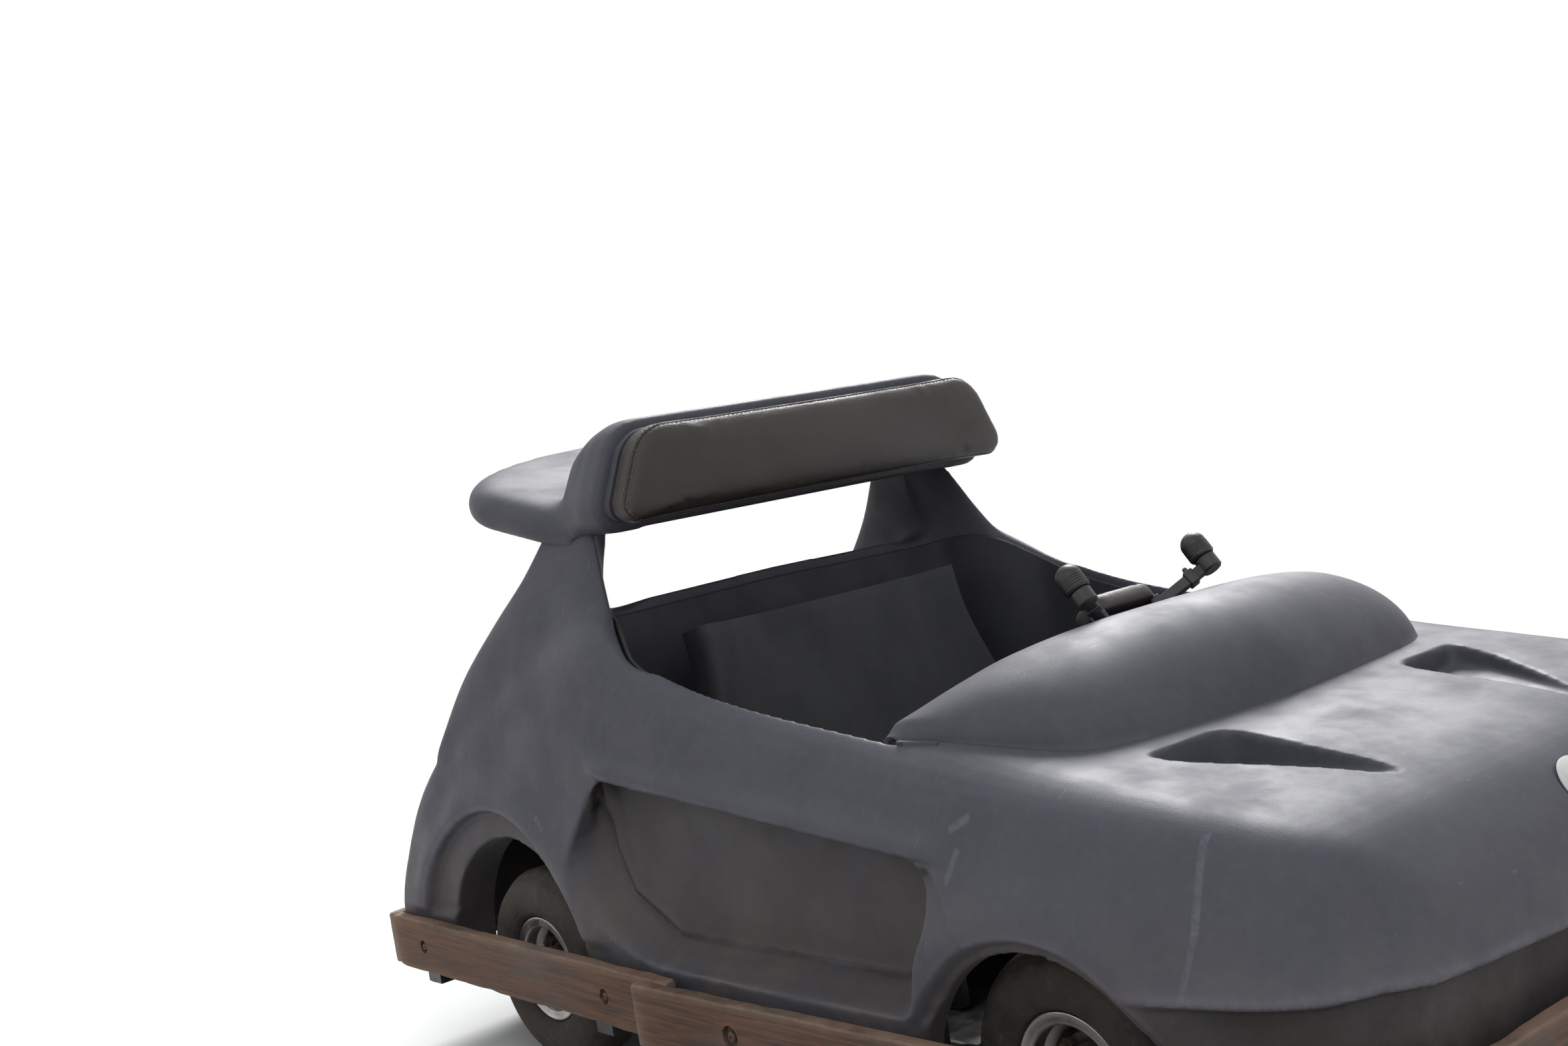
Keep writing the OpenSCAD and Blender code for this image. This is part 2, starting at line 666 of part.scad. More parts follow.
// Rim: outer and inner lip, bead seats, drop centre and the disc that carries the hub
lip_w = 3;
rim_half = bead_half + seat_gap + 0.1;
disc_w = 12;
module rim(x, side, hub_r, bore) {
    color(steel) translate([x, side * wheel_y, axle_z]) rotate([-90 * side, 0, 0]) difference() {
        union() {
            rotate_extrude($fn = 96) union() {
                for (m = [0, 1]) mirror([0, m]) {
                    translate([bead_r - rim_t, 14]) square([rim_t, rim_half - 13]);
                    translate([bead_r - rim_t, rim_half]) square([lip_r - bead_r + rim_t, lip_w]);
                    polygon([[bead_r - rim_t, 15], [bead_r, 15], [bead_r - 9, 7], [bead_r - 12, 7]]);
                }
                translate([bead_r - 12, -7.5]) square([rim_t, 15]);
                translate([hub_r - 1, -disc_w / 2]) square([bead_r - 11 - hub_r + 1, 4]);
            }
            translate([0, 0, -34]) cylinder(h = 68, r = hub_r);
        }
        cylinder(h = 200, r = bore, center = true);
    }
}

module rear_axle() {
    color(steel) translate([rear_x, 0, axle_z]) rotate([90, 0, 0])
        cylinder(h = 2 * wheel_y + 96, d = rear_shaft_d, center = true);
}
module axle_bearings() {
    color(black) for (side = [-1, 1]) translate([rear_x, side * rail_y, 0]) difference() {
        hull() {
            translate([-45, -16, rail_top]) cube([90, 32, 8]);
            translate([0, 0, axle_z]) rotate([90, 0, 0]) cylinder(h = 32, r = 30, center = true);
        }
        translate([0, 0, axle_z]) rotate([90, 0, 0]) cylinder(h = 100, r = rear_shaft_d / 2 + run_gap, center = true);
        translate([-200, -50, 0]) cube([400, 100, rail_top]);
    }
}

module drive_motor() {
    color(black) union() {
        translate([ahead(-190), 0, rail_top + 75]) rotate([90, 0, 0]) cylinder(h = 220, r = 72, center = true);
        for (side = [-1, 1]) translate([ahead(-250), side * 226 - 26, rail_top]) cube([120, 52, 12]);
        translate([ahead(-250), -230, rail_top + 6]) cube([120, 460, 12]);
    }
}
module battery_pack() {
    color(black) for (y = [-105, 105])
        translate([ahead(24), y - 90, rail_top + 3]) cube([110, 180, 170]);
    color(black) union() {
        translate([ahead(20), -198, rail_top]) cube([119, 396, 3.5]);
        translate([ahead(48), -238, rail_top]) cube([91, 476, 3.5]);
    }
}

module pedal(y) {
    color(black) union() {
        hull() {
            translate([ahead(1120), y, 182]) rotate([90, 0, 0]) cylinder(h = 16, d = 10, center = true);
            translate([ahead(1092), y, 262]) rotate([90, 0, 0]) cylinder(h = 16, d = 10, center = true);
        }
        hull() {
            translate([ahead(1096), y, 250]) rotate([90, 0, 0]) cylinder(h = 70, d = 8, center = true);
            translate([ahead(1080), y, 300]) rotate([90, 0, 0]) cylinder(h = 70, d = 8, center = true);
        }
        translate([ahead(1110), y - 12, 175]) cube([24, 24, 8]);
    }
}
module accelerator_pedal() { pedal(-150); }
module brake_pedal() { pedal(150); }

disc_r = 34;
module disc_place() { translate([ahead(1375), 0, 367.5]) rotate([0, 52, 0]) children(); }
module nose_disc() {
    color("white") disc_place() translate([0, 0, seat_gap]) cylinder(h = 4, r = disc_r);
}

body_shell();
cowl();
spoiler();
headrest_pad();
cockpit_tub();
seat();
floor_pan();
chassis_frame();
front_axle_beam();
knuckle(-1);  // knuckle_right
knuckle(1);  // knuckle_left
tie_rod();
drop_arm();
steering_gearbox();
column_support();
steering_column();
yoke_bar();
yoke_pad();
grip(-1);  // grip_right
grip(1);  // grip_left
tyre(front_x, -wheel_y);  // tyre_front_right
tyre(front_x, wheel_y);  // tyre_front_left
tyre(rear_x, -wheel_y);  // tyre_rear_right
tyre(rear_x, wheel_y);  // tyre_rear_left
rim(front_x, -1, 28, stub_d / 2 + run_gap);  // rim_front_right
rim(front_x, 1, 28, stub_d / 2 + run_gap);  // rim_front_left
rim(rear_x, -1, 28, rear_shaft_d / 2 + 0.02);  // rim_rear_right
rim(rear_x, 1, 28, rear_shaft_d / 2 + 0.02);  // rim_rear_left
rear_axle();
axle_bearings();
drive_motor();
battery_pack();
accelerator_pedal();
brake_pedal();
bumper_front();
bumper_rear();
bumper_corner(-1);  // bumper_corner_right
bumper_corner(1);  // bumper_corner_left
bumper_side_front(-1);  // bumper_side_front_right
bumper_side_front(1);  // bumper_side_front_left
bumper_side_rear(-1);  // bumper_side_rear_right
bumper_side_rear(1);  // bumper_side_rear_left
nose_disc();
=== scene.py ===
"""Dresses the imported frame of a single-seat amusement-park ride car."""

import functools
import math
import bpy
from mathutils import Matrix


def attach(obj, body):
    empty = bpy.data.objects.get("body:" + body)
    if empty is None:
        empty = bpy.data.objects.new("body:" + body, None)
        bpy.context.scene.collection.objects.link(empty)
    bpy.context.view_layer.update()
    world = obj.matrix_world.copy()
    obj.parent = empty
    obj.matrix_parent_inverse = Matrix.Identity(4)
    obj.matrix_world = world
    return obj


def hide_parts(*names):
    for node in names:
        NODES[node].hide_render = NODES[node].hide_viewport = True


bl_info = {
    "name": "Ride Car Dressing",
    "version": (1, 0, 0),
    "blender": (4, 5, 0),
    "location": "View3D > Sidebar > Ride Car",
    "description": "Body, cushions, planks, wheels and finishes of a small ride car",
    "category": "Object",
}

import bmesh
import bpy
import numpy as np
from mathutils import Matrix, Vector, noise

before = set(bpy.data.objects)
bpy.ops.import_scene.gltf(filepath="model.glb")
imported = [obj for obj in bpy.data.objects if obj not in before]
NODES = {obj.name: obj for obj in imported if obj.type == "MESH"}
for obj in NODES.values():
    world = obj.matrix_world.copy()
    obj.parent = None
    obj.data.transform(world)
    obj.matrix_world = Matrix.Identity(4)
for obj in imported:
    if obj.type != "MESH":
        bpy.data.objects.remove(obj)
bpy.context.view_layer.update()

MM = 0.001
# Where the rear axle stands in the frame, in metres, and the distance to the front axle in mm
REAR_X = -0.535
WHEELBASE = 1010
SIDES = {"right": -1, "left": 1}
# A spun profile stays this far off its axis
CORE = 0.0002


def ahead(distance):
    """A distance in mm ahead of the rear axle, as an x in the frame."""
    return REAR_X + distance * MM


# ---------------------------------------------------------------- settings


class CarBodySettings(bpy.types.PropertyGroup):
    """Sizes and colours of the moulded body."""

    colour: bpy.props.FloatVectorProperty(
        name="Body colour", description="Colour of the moulded plastic",
        subtype="COLOR", size=3, min=0, max=1, default=(0.083, 0.084, 0.101))
    dust: bpy.props.FloatVectorProperty(
        name="Dust colour", description="Colour of the dust low on the body",
        subtype="COLOR", size=3, min=0, max=1, default=(0.175, 0.140, 0.118))
    grain: bpy.props.FloatProperty(
        name="Remesh size", description="Size of the faces that round the body's edges",
        unit="LENGTH", min=0.003, max=0.012, default=0.0035)
    lip_roll: bpy.props.FloatProperty(
        name="Recess lip", description="How far the lip above the side recess bulges",
        unit="LENGTH", min=0, max=0.016, default=0.010)
    arch_crest: bpy.props.FloatProperty(
        name="Arch crest", description="How far the crest round each wheel arch bulges",
        unit="LENGTH", min=0, max=0.012, default=0.009)


class CarTrimSettings(bpy.types.PropertyGroup):
    """Sizes and colours of the pad, planks and wheels."""

    vinyl: bpy.props.FloatVectorProperty(
        name="Vinyl colour", description="Colour of the padded vinyl",
        subtype="COLOR", size=3, min=0, max=1, default=(0.030, 0.022, 0.020))
    wood: bpy.props.FloatVectorProperty(
        name="Wood colour", description="Colour of the weathered planks",
        subtype="COLOR", size=3, min=0, max=1, default=(0.142, 0.076, 0.047))
    rubber: bpy.props.FloatVectorProperty(
        name="Tyre colour", description="Colour of the dusty tyres",
        subtype="COLOR", size=3, min=0, max=1, default=(0.074, 0.063, 0.055))
    stitch: bpy.props.FloatProperty(
        name="Stitch spacing", description="Distance between two stitches",
        unit="LENGTH", min=0.004, max=0.02, default=0.0075)
    fill: bpy.props.FloatProperty(
        name="Pad fill", description="How full the headrest pad is", min=0, max=1, default=0.85)


def body_settings():
    return bpy.context.scene.ride_car_body


def trim_settings():
    return bpy.context.scene.ride_car_trim


# ---------------------------------------------------------------- mesh helpers


def mesh_object(name, verts, faces):
    mesh = bpy.data.meshes.new(name)
    mesh.from_pydata([tuple(v) for v in verts], [], [tuple(f) for f in faces])
    mesh.update()
    obj = bpy.data.objects.new(name, mesh)
    bpy.context.scene.collection.objects.link(obj)
    return obj


def bake(obj):
    """Turns an object's live modifiers into plain mesh."""
    graph = bpy.context.evaluated_depsgraph_get()
    mesh = bpy.data.meshes.new_from_object(obj.evaluated_get(graph))
    old = obj.data
    obj.modifiers.clear()
    obj.data = mesh
    mesh.name = obj.name
    if old.users == 0:
        bpy.data.meshes.remove(old)
    return obj


def modify(obj, kind, **values):
    modifier = obj.modifiers.new(kind.title(), kind)
    for key, value in values.items():
        setattr(modifier, key, value)
    return bake(obj)


def remesh(obj, size):
    """Rebuilds a closed mesh from small cubes, which rounds its edges."""
    return modify(obj, "REMESH", mode="VOXEL", voxel_size=size, use_smooth_shade=True)


def thin(obj, ratio):
    """Leaves a share of the faces, the fewest where the surface is flat."""
    return modify(obj, "DECIMATE", decimate_type="COLLAPSE", ratio=ratio)


def bevel(obj, width, angle=30, segments=2):
    """Rounds the edges that turn by more than an angle in degrees."""
    return modify(obj, "BEVEL", width=width, segments=segments, limit_method="ANGLE",
                  angle_limit=math.radians(angle))


def combine(obj, other, operation="UNION"):
    """Joins or cuts one closed mesh with another, which is then removed."""
    modify(obj, "BOOLEAN", operation=operation, object=other, solver="MANIFOLD")
    if len(obj.data.vertices) == 0:
        raise RuntimeError(f"{obj.name} is empty after {operation} with {other.name}")
    bpy.data.objects.remove(other)
    return obj


def carve(obj, other):
    return combine(obj, other, "DIFFERENCE")


def fix_normals(obj):
    bm = bmesh.new()
    bm.from_mesh(obj.data)
    bmesh.ops.remove_doubles(bm, verts=bm.verts, dist=1e-6)
    bmesh.ops.recalc_face_normals(bm, faces=bm.faces)
    bm.to_mesh(obj.data)
    bm.free()
    return obj


def shade(obj, angle=40):
    obj.data.shade_smooth()
    obj.data.set_sharp_from_angle(angle=math.radians(angle))
    return obj


def dress(obj, material, body, replaces=()):
    """Gives a finished piece its material and its body, and hides the parts that it replaces."""
    obj.data.materials.clear()
    obj.data.materials.append(material)
    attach(obj, body)
    if replaces:
        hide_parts(*replaces)
    return obj


def join(name, objs):
    """One object from several, all still unturned at the origin."""
    bm = bmesh.new()
    for obj in objs:
        bm.from_mesh(obj.data)
        bpy.data.objects.remove(obj)
    mesh = bpy.data.meshes.new(name)
    bm.to_mesh(mesh)
    bm.free()
    out = bpy.data.objects.new(name, mesh)
    bpy.context.scene.collection.objects.link(out)
    return out


def loft(name, rings, caps=True, closed=True):
    """Skin over rings with equal numbers of points."""
    count = len(rings[0])
    verts = [p for ring in rings for p in ring]
    faces = []
    last = count if closed else count - 1
    for i in range(len(rings) - 1):
        for j in range(last):
            a, b = i * count + j, i * count + (j + 1) % count
            faces.append((a, b, b + count, a + count))
    if caps:
        faces.append(tuple(reversed(range(count))))
        faces.append(tuple(range((len(rings) - 1) * count, len(rings) * count)))
    return fix_normals(mesh_object(name, verts, faces))


def spin(name, profile, steps, centre, axis="Y"):
    """A closed [radius, along] profile turned about an axis through centre."""
    rings = []
    for k in range(steps):
        a = 2 * math.pi * k / steps
        ring = []
        for r, w in profile:
            u, v = r * math.cos(a), r * math.sin(a)
            p = {"Y": (u, w, v), "Z": (u, v, w)}[axis]
            ring.append(Vector(p) + Vector(centre))
        rings.append(ring)
    rings.append(rings[0])
    return fix_normals(loft(name, rings, caps=False))


def rod(name, radius, low, high, steps, centre, axis="Y"):
    """A closed cylinder from low to high along an axis through centre."""
    return spin(name, [(CORE, low), (radius, low), (radius, high), (CORE, high)], steps, centre, axis)


def box_piece(name, low, high, round_by=0.0):
    """A box between two corners, with its edges rounded."""
    x0, y0, z0 = low
    x1, y1, z1 = high
    verts = [(x, y, z) for z in (z0, z1) for x, y in ((x0, y0), (x1, y0), (x1, y1), (x0, y1))]
    faces = [(3, 2, 1, 0), (4, 5, 6, 7), (0, 1, 5, 4), (1, 2, 6, 5), (2, 3, 7, 6), (3, 0, 4, 7)]
    obj = mesh_object(name, verts, faces)
    return bevel(obj, round_by) if round_by else obj


def place(obj, matrix):
    obj.data.transform(matrix)
    obj.data.update()
    return obj


def rounded(points, radii, steps=5):
    """An outline with each corner replaced by a curve of the same number of points."""
    out = []
    n = len(points)
    for i in range(n):
        a, b, c = (np.array(points[j % n], float) for j in (i - 1, i, i + 1))
        r = radii if np.isscalar(radii) else radii[i]
        p = b + (a - b) * min(0.5, r / np.linalg.norm(a - b))
        q = b + (c - b) * min(0.5, r / np.linalg.norm(c - b))
        for k in range(steps + 1):
            t = k / steps
            out.append((1 - t) ** 2 * p + 2 * t * (1 - t) * b + t * t * q)
    return out


def smooth_rows(table, steps):
    """Rows of a table blended with a smooth curve, steps between each two rows."""
    rows = [np.array(r, float) for r in table]
    rows = [2 * rows[0] - rows[1]] + rows + [2 * rows[-1] - rows[-2]]
    out = []
    for i in range(1, len(rows) - 2):
        p0, p1, p2, p3 = rows[i - 1:i + 3]
        h = p2[0] - p1[0]
        m1 = (p2 - p0) / (p2[0] - p0[0]) * h
        m2 = (p3 - p1) / (p3[0] - p1[0]) * h
        for k in range(steps):
            t = k / steps
            out.append((2 * t**3 - 3 * t**2 + 1) * p1 + (t**3 - 2 * t**2 + t) * m1
                       + (3 * t**2 - 2 * t**3) * p2 + (t**3 - t**2) * m2)
            out[-1][0] = p1[0] + h * t
    out.append(rows[-2])
    return out


def points_of(obj):
    co = np.empty(len(obj.data.vertices) * 3)
    obj.data.vertices.foreach_get("co", co)
    return co.reshape(-1, 3)


def set_points(obj, co):
    obj.data.vertices.foreach_set("co", co.ravel())
    obj.data.update()
    return obj


RELAX_STEP = 0.5


def relax(obj, rounds, weight=None):
    """Evens out the surface, more where the weight of a point is high."""
    co = points_of(obj)
    edges = np.empty(len(obj.data.edges) * 2, np.int64)
    obj.data.edges.foreach_get("vertices", edges)
    a, b = edges.reshape(-1, 2).T
    ends, starts = np.concatenate([a, b]), np.concatenate([b, a])
    degree = np.bincount(ends, minlength=len(co))[:, None]
    pull = RELAX_STEP * (1.0 if weight is None else weight(co)[:, None])
    for _ in range(rounds):
        total = np.stack([np.bincount(ends, weights=co[starts, k], minlength=len(co)) for k in range(3)], 1)
        co += pull * (total / degree - co)
    return set_points(obj, co)


def mark(obj, name, values):
    """Gives every point of a mesh a number that its material reads."""
    layer = obj.data.attributes.new(name, "FLOAT", "POINT")
    layer.data.foreach_set("value", values.astype(np.float32))


def gap_to(line, a, b):
    """Distance from each place (a, b) to the nearest point of a line."""
    return np.min(np.hypot(a[:, None] - line[None, :, 0], b[:, None] - line[None, :, 1]), axis=1)


def hull_ring(points, centre=None):
    """The outermost of some (x, y) points, in their order round a centre."""
    bm = bmesh.new()
    hull = bmesh.ops.convex_hull(bm, input=[bm.verts.new((x, y, 0)) for x, y in points])
    ring = [g.co.copy() for g in hull["geom"] if isinstance(g, bmesh.types.BMVert)]
    bm.free()
    middle = sum(ring, Vector()) / len(ring) if centre is None else Vector((*centre, 0))
    ring.sort(key=lambda p: math.atan2(p.y - middle.y, p.x - middle.x))
    return [(p.x, p.y) for p in ring]


def bump(x, centre, width):
    """A smooth hill of height 1."""
    return np.exp(-(((x - centre) / width) ** 2))


def ramp(x, low, high):
    """A smooth step from 0 at low to 1 at high."""
    t = np.clip((x - low) / (high - low), 0, 1)
    return t * t * (3 - 2 * t)


# ---------------------------------------------------------------- material helpers


class Finish:
    """A material in the making: its nodes, its shader and Object coordinates."""

    def __init__(self, name, roughness=0.6, metallic=0.0, specular=0.5):
        self.material = bpy.data.materials.new(name)
        self.material.use_nodes = True
        self.tree = self.material.node_tree
        self.shader = self.tree.nodes["Principled BSDF"]
        self.fill(self.shader, Roughness=roughness, Metallic=metallic)
        self.shader.inputs["Specular IOR Level"].default_value = specular
        self.coords = self.tree.nodes.new("ShaderNodeTexCoord").outputs["Object"]

    def fill(self, node, **values):
        for key, value in values.items():
            node.inputs[key].default_value = value

    def link(self, output, target):
        self.tree.links.new(output, target)

    def put(self, socket, value):
        """Feeds a socket from an output, or sets it to a plain value."""
        if isinstance(value, bpy.types.NodeSocket):
            self.link(value, socket)
        elif hasattr(value, "__len__") and len(value) == 3 and len(socket.default_value) == 4:
            socket.default_value = (*value, 1)
        else:
            socket.default_value = value

    def stretched(self, scale, turn):
        node = self.tree.nodes.new("ShaderNodeMapping")
        self.fill(node, Scale=scale, Rotation=turn)
        self.link(self.coords, node.inputs["Vector"])
        return node.outputs["Vector"]

    def noise(self, scale, detail=3, roughness=0.5, vector=None, distortion=0.0):
        node = self.tree.nodes.new("ShaderNodeTexNoise")
        self.put(node.inputs["Vector"], vector or self.coords)
        self.fill(node, Scale=scale, Detail=detail, Roughness=roughness, Distortion=distortion)
        return node.outputs["Fac"]

    def cells(self, scale, feature="F1"):
        node = self.tree.nodes.new("ShaderNodeTexVoronoi")
        node.feature = feature
        self.link(self.coords, node.inputs["Vector"])
        self.fill(node, Scale=scale)
        return node.outputs["Distance"]

    def between(self, value, low, high, to_low=0.0, to_high=1.0):
        node = self.tree.nodes.new("ShaderNodeMapRange")
        node.interpolation_type = "SMOOTHSTEP"
        self.put(node.inputs["Value"], value)
        for key, number in (("From Min", low), ("From Max", high), ("To Min", to_low), ("To Max", to_high)):
            node.inputs[key].default_value = number
        return node.outputs["Result"]

    def cloud(self, scale, detail, roughness, *limits):
        """Noise, spread between limits as between() does."""
        return self.between(self.noise(scale, detail, roughness), *limits)

    def math(self, operation, a, b=0.0):
        node = self.tree.nodes.new("ShaderNodeMath")
        node.operation = operation
        self.put(node.inputs[0], a)
        self.put(node.inputs[1], b)
        return node.outputs[0]

    def mix(self, factor, a, b):
        node = self.tree.nodes.new("ShaderNodeMix")
        node.data_type = "RGBA"
        self.put(node.inputs["Factor"], factor)
        self.put(node.inputs[6], a)
        self.put(node.inputs[7], b)
        return node.outputs[2]

    def part(self, axis):
        node = self.tree.nodes.new("ShaderNodeSeparateXYZ")
        self.link(self.coords, node.inputs[0])
        return node.outputs[axis]

    def attribute(self, name):
        node = self.tree.nodes.new("ShaderNodeAttribute")
        node.attribute_name = name
        return node.outputs["Fac"]

    def colour(self, value):
        self.put(self.shader.inputs["Base Color"], value)

    def rough(self, value):
        self.put(self.shader.inputs["Roughness"], value)

    def bumpy(self, *layers):
        """Bump layers, each (height, distance in metres, strength)."""
        previous = None
        for height, distance, strength in layers:
            node = self.tree.nodes.new("ShaderNodeBump")
            self.fill(node, Distance=distance, Strength=strength)
            self.put(node.inputs["Height"], height)
            if previous:
                self.link(previous, node.inputs["Normal"])
            previous = node.outputs["Normal"]
        self.link(previous, self.shader.inputs["Normal"])


def times(colour, factor):
    """A colour made lighter or darker."""
    return tuple(min(1, c * factor) for c in colour)


# Pale marks on the right side: distance ahead and height of both ends, width in mm, strength
MARKS = (((1232, 418), (1244, 340), 8, 0.40), ((1244, 340), (1238, 282), 7, 0.34),
         ((928, 414), (950, 426), 9, 0.42), ((944, 396), (936, 364), 8, 0.36),
         ((108, 381), (128, 364), 8, 0.45))


def stroke(f, start, end, width):
    """A soft-edged mark between two places on the right side of the body."""
    length = math.hypot(end[0] - start[0], end[1] - start[1])
    node = f.tree.nodes.new("ShaderNodeMapping")
    node.vector_type = "TEXTURE"
    f.fill(node, Location=(ahead((start[0] + end[0]) / 2), 0, (start[1] + end[1]) / 2 * MM),
           Rotation=(0, -math.atan2(end[1] - start[1], end[0] - start[0]), 0))
    f.link(f.coords, node.inputs["Vector"])
    split = f.tree.nodes.new("ShaderNodeSeparateXYZ")
    f.link(node.outputs["Vector"], split.inputs[0])
    along, across = (f.math("ABSOLUTE", split.outputs[k]) for k in (0, 2))
    inside = f.math("MULTIPLY", f.between(along, length / 2 * MM, (length / 2 + 2) * MM, 1, 0),
                    f.between(across, width * 0.3 * MM, width * 0.65 * MM, 1, 0))
    broken = f.math("MULTIPLY", inside, f.cloud(55, 6, 0.75, 0.36, 0.58, 0.25, 1.0))
    return f.math("MULTIPLY", broken, f.between(f.part("Y"), -0.40, -0.38, 1, 0))


def moulded_plastic(name, colour, dust, dirt=1.0, marks=()):
    """Matte moulded plastic: fine pebble, scuffs, streaks and dust low down, with painted shade and painted
    highlights where the mesh carries them.
    """
    f = Finish(name, roughness=0.6, specular=0.3)
    blotch = f.noise(1.6, 6, 0.62)
    shade_mix = f.mix(f.between(blotch, 0.38, 0.68), times(colour, 0.94), times(colour, 1.08))
    fine = f.noise(64, 5, 0.7)
    mottled = f.mix(f.between(fine, 0.42, 0.72, 0, 0.24 * dirt), shade_mix, times(colour, 1.55))
    scuff = f.noise(9.0, 9, 0.78, f.stretched((1.0, 1.0, 2.2), (0.3, 0.5, 0.2)), 0.5)
    scuffed = f.mix(f.between(scuff, 0.63, 0.80, 0, 0.34 * dirt), mottled, times(colour, 2.2))
    scratch = f.noise(26, 3, 0.5, f.stretched((9.0, 1.4, 0.7), (0.4, 0.9, 0.3)), 0.1)
    scratched = f.mix(f.between(scratch, 0.70, 0.76, 0, 0.30 * dirt), scuffed, times(colour, 2.6))
    low = f.between(f.part("Z"), 0.19, 0.40, 1.0, 0.0)
    cloud = f.cloud(7.5, 8, 0.7, 0.38, 0.66)
    dusty = f.mix(f.math("MULTIPLY", f.math("MULTIPLY", low, cloud), 0.62 * dirt), scratched, dust)
    speck = f.between(f.cells(70), 0.0, 0.045, 0.5 * dirt, 0.0)
    flecked = f.mix(speck, dusty, times(colour, 2.6))
    # Painted shade with some dirt from the mesh's grime number, near black where it is highest. Painted
    # highlights with some edge wear from its worn number.
    dirt_and_painted_shade = f.math("MULTIPLY", f.attribute("grime"), f.cloud(12, 8, 0.72, 0.3, 0.62, 0.6, 1.0))
    wear_and_painted_highlight = f.math("MULTIPLY", f.attribute("worn"), f.cloud(20, 6, 0.7, 0.35, 0.65, 0.25, 0.75))
    dirt_and_painted_shade_colour = f.mix(f.between(f.attribute("grime"), 0.62, 1.0), (0.088, 0.072, 0.066), (0.020, 0.016, 0.016))
    final = f.mix(wear_and_painted_highlight, f.mix(dirt_and_painted_shade, flecked, dirt_and_painted_shade_colour), times(colour, 2.1))
    for start, end, width, strength in marks:
        final = f.mix(f.math("MULTIPLY", stroke(f, start, end, width), strength), final, times(colour, 2.6))
    f.colour(final)
    f.rough(f.cloud(11, 6, 0.6, 0.3, 0.75, 0.50, 0.68))
    f.bumpy((f.noise(9, 4, 0.5), 0.0016, 0.22), (f.noise(560, 2, 0.5), 0.0004, 0.5))
    return f.material


@functools.cache
def body_plastic():
    s = body_settings()
    return moulded_plastic("moulded_body", tuple(s.colour), tuple(s.dust), 1.0, MARKS)


@functools.cache
def dark_plastic():
    return moulded_plastic("dark_interior", (0.034, 0.035, 0.040), (0.10, 0.088, 0.080), 0.6)


@functools.cache
def vinyl():
    colour = tuple(trim_settings().vinyl)
    f = Finish("padded_vinyl", roughness=0.42, specular=0.5)
    mottle = f.cloud(5, 6, 0.6, 0.3, 0.75)
    base = f.mix(mottle, times(colour, 0.8), times(colour, 1.35))
    speck = f.between(f.cells(60), 0.0, 0.05, 0.5, 0.0)
    f.colour(f.mix(speck, base, (0.16, 0.14, 0.13)))
    f.rough(f.cloud(9, 5, 0.6, 0.3, 0.7, 0.34, 0.52))
    grain = f.cells(900, "DISTANCE_TO_EDGE")
    f.bumpy((f.noise(20, 3), 0.0012, 0.3), (f.between(grain, 0.0, 0.25), 0.00025, 0.45))
    return f.material


@functools.cache
def planks_wood():
    colour = tuple(trim_settings().wood)
    f = Finish("weathered_planks", roughness=0.72, specular=0.35)
    joined = f.tree.nodes.new("ShaderNodeCombineXYZ")
    f.link(f.attribute("along"), joined.inputs[0])
    f.link(f.math("MULTIPLY", f.attribute("across"), 26.0), joined.inputs[1])
    f.link(f.attribute("through"), joined.inputs[2])
    grain = f.noise(5.0, 9, 0.68, joined.outputs[0], 0.9)
    base = f.mix(f.between(grain, 0.34, 0.66), times(colour, 0.36), times(colour, 1.5))
    fade = f.cloud(3.0, 5, 0.6, 0.45, 0.75, 0.0, 0.6)
    faded = f.mix(fade, base, (0.215, 0.185, 0.165))
    worn = f.math("MULTIPLY", f.attribute("worn"), f.cloud(30, 6, 0.7, 0.3, 0.6, 0.35, 1.0))
    f.colour(f.mix(worn, faded, (0.36, 0.27, 0.20)))
    f.rough(f.between(grain, 0.3, 0.7, 0.6, 0.82))
    f.bumpy((grain, 0.0012, 0.6), (f.noise(420, 3, 0.6), 0.0003, 0.4))
    return f.material


@functools.cache
def tyre_rubber():
    colour = tuple(trim_settings().rubber)
    f = Finish("dusty_tyre", roughness=0.8, specular=0.3)
    cloud = f.cloud(11, 7, 0.7, 0.32, 0.72)
    base = f.mix(cloud, times(colour, 0.55), times(colour, 1.45))
    f.colour(f.mix(f.cloud(60, 4, 0.6, 0.55, 0.75, 0, 0.5), base, (0.15, 0.125, 0.108)))
    f.rough(f.between(cloud, 0, 1, 0.72, 0.9))
    f.bumpy((f.noise(300, 4, 0.6), 0.0005, 0.4))
    return f.material


@functools.cache
def metal(name, colour, roughness, rust=0.0, metallic=1.0):
    f = Finish(name, roughness=roughness, metallic=metallic)
    cloud = f.cloud(16, 6, 0.65, 0.3, 0.75)
    base = f.mix(cloud, times(colour, 0.75), times(colour, 1.15))
    grime = f.cloud(38, 7, 0.7, 0.56, 0.74, 0.0, max(rust, 0.12))
    f.colour(f.mix(grime, base, (0.12, 0.085, 0.06)))
    f.rough(f.cloud(50, 5, 0.6, 0.3, 0.7, roughness * 0.8, min(1, roughness * 1.3)))
    f.bumpy((f.noise(180, 4, 0.6), 0.0003, 0.3))
    return f.material


def rim_metal():
    return metal("dull_rim_steel", (0.40, 0.385, 0.365), 0.40, 0.4)


def shaft_metal():
    return metal("turned_steel", (0.42, 0.41, 0.40), 0.32, 0.12)


def bolt_metal():
    return metal("bolt_steel", (0.115, 0.080, 0.062), 0.62, 0.6, 0.35)


def floor_metal():
    return metal("floor_sheet", (0.40, 0.40, 0.40), 0.5, 0.25)


def black_paint():
    return metal("satin_black_paint", (0.030, 0.030, 0.032), 0.46, 0.15, 0.0)


def motor_paint():
    return metal("motor_paint", (0.055, 0.060, 0.066), 0.5, 0.12, 0.0)


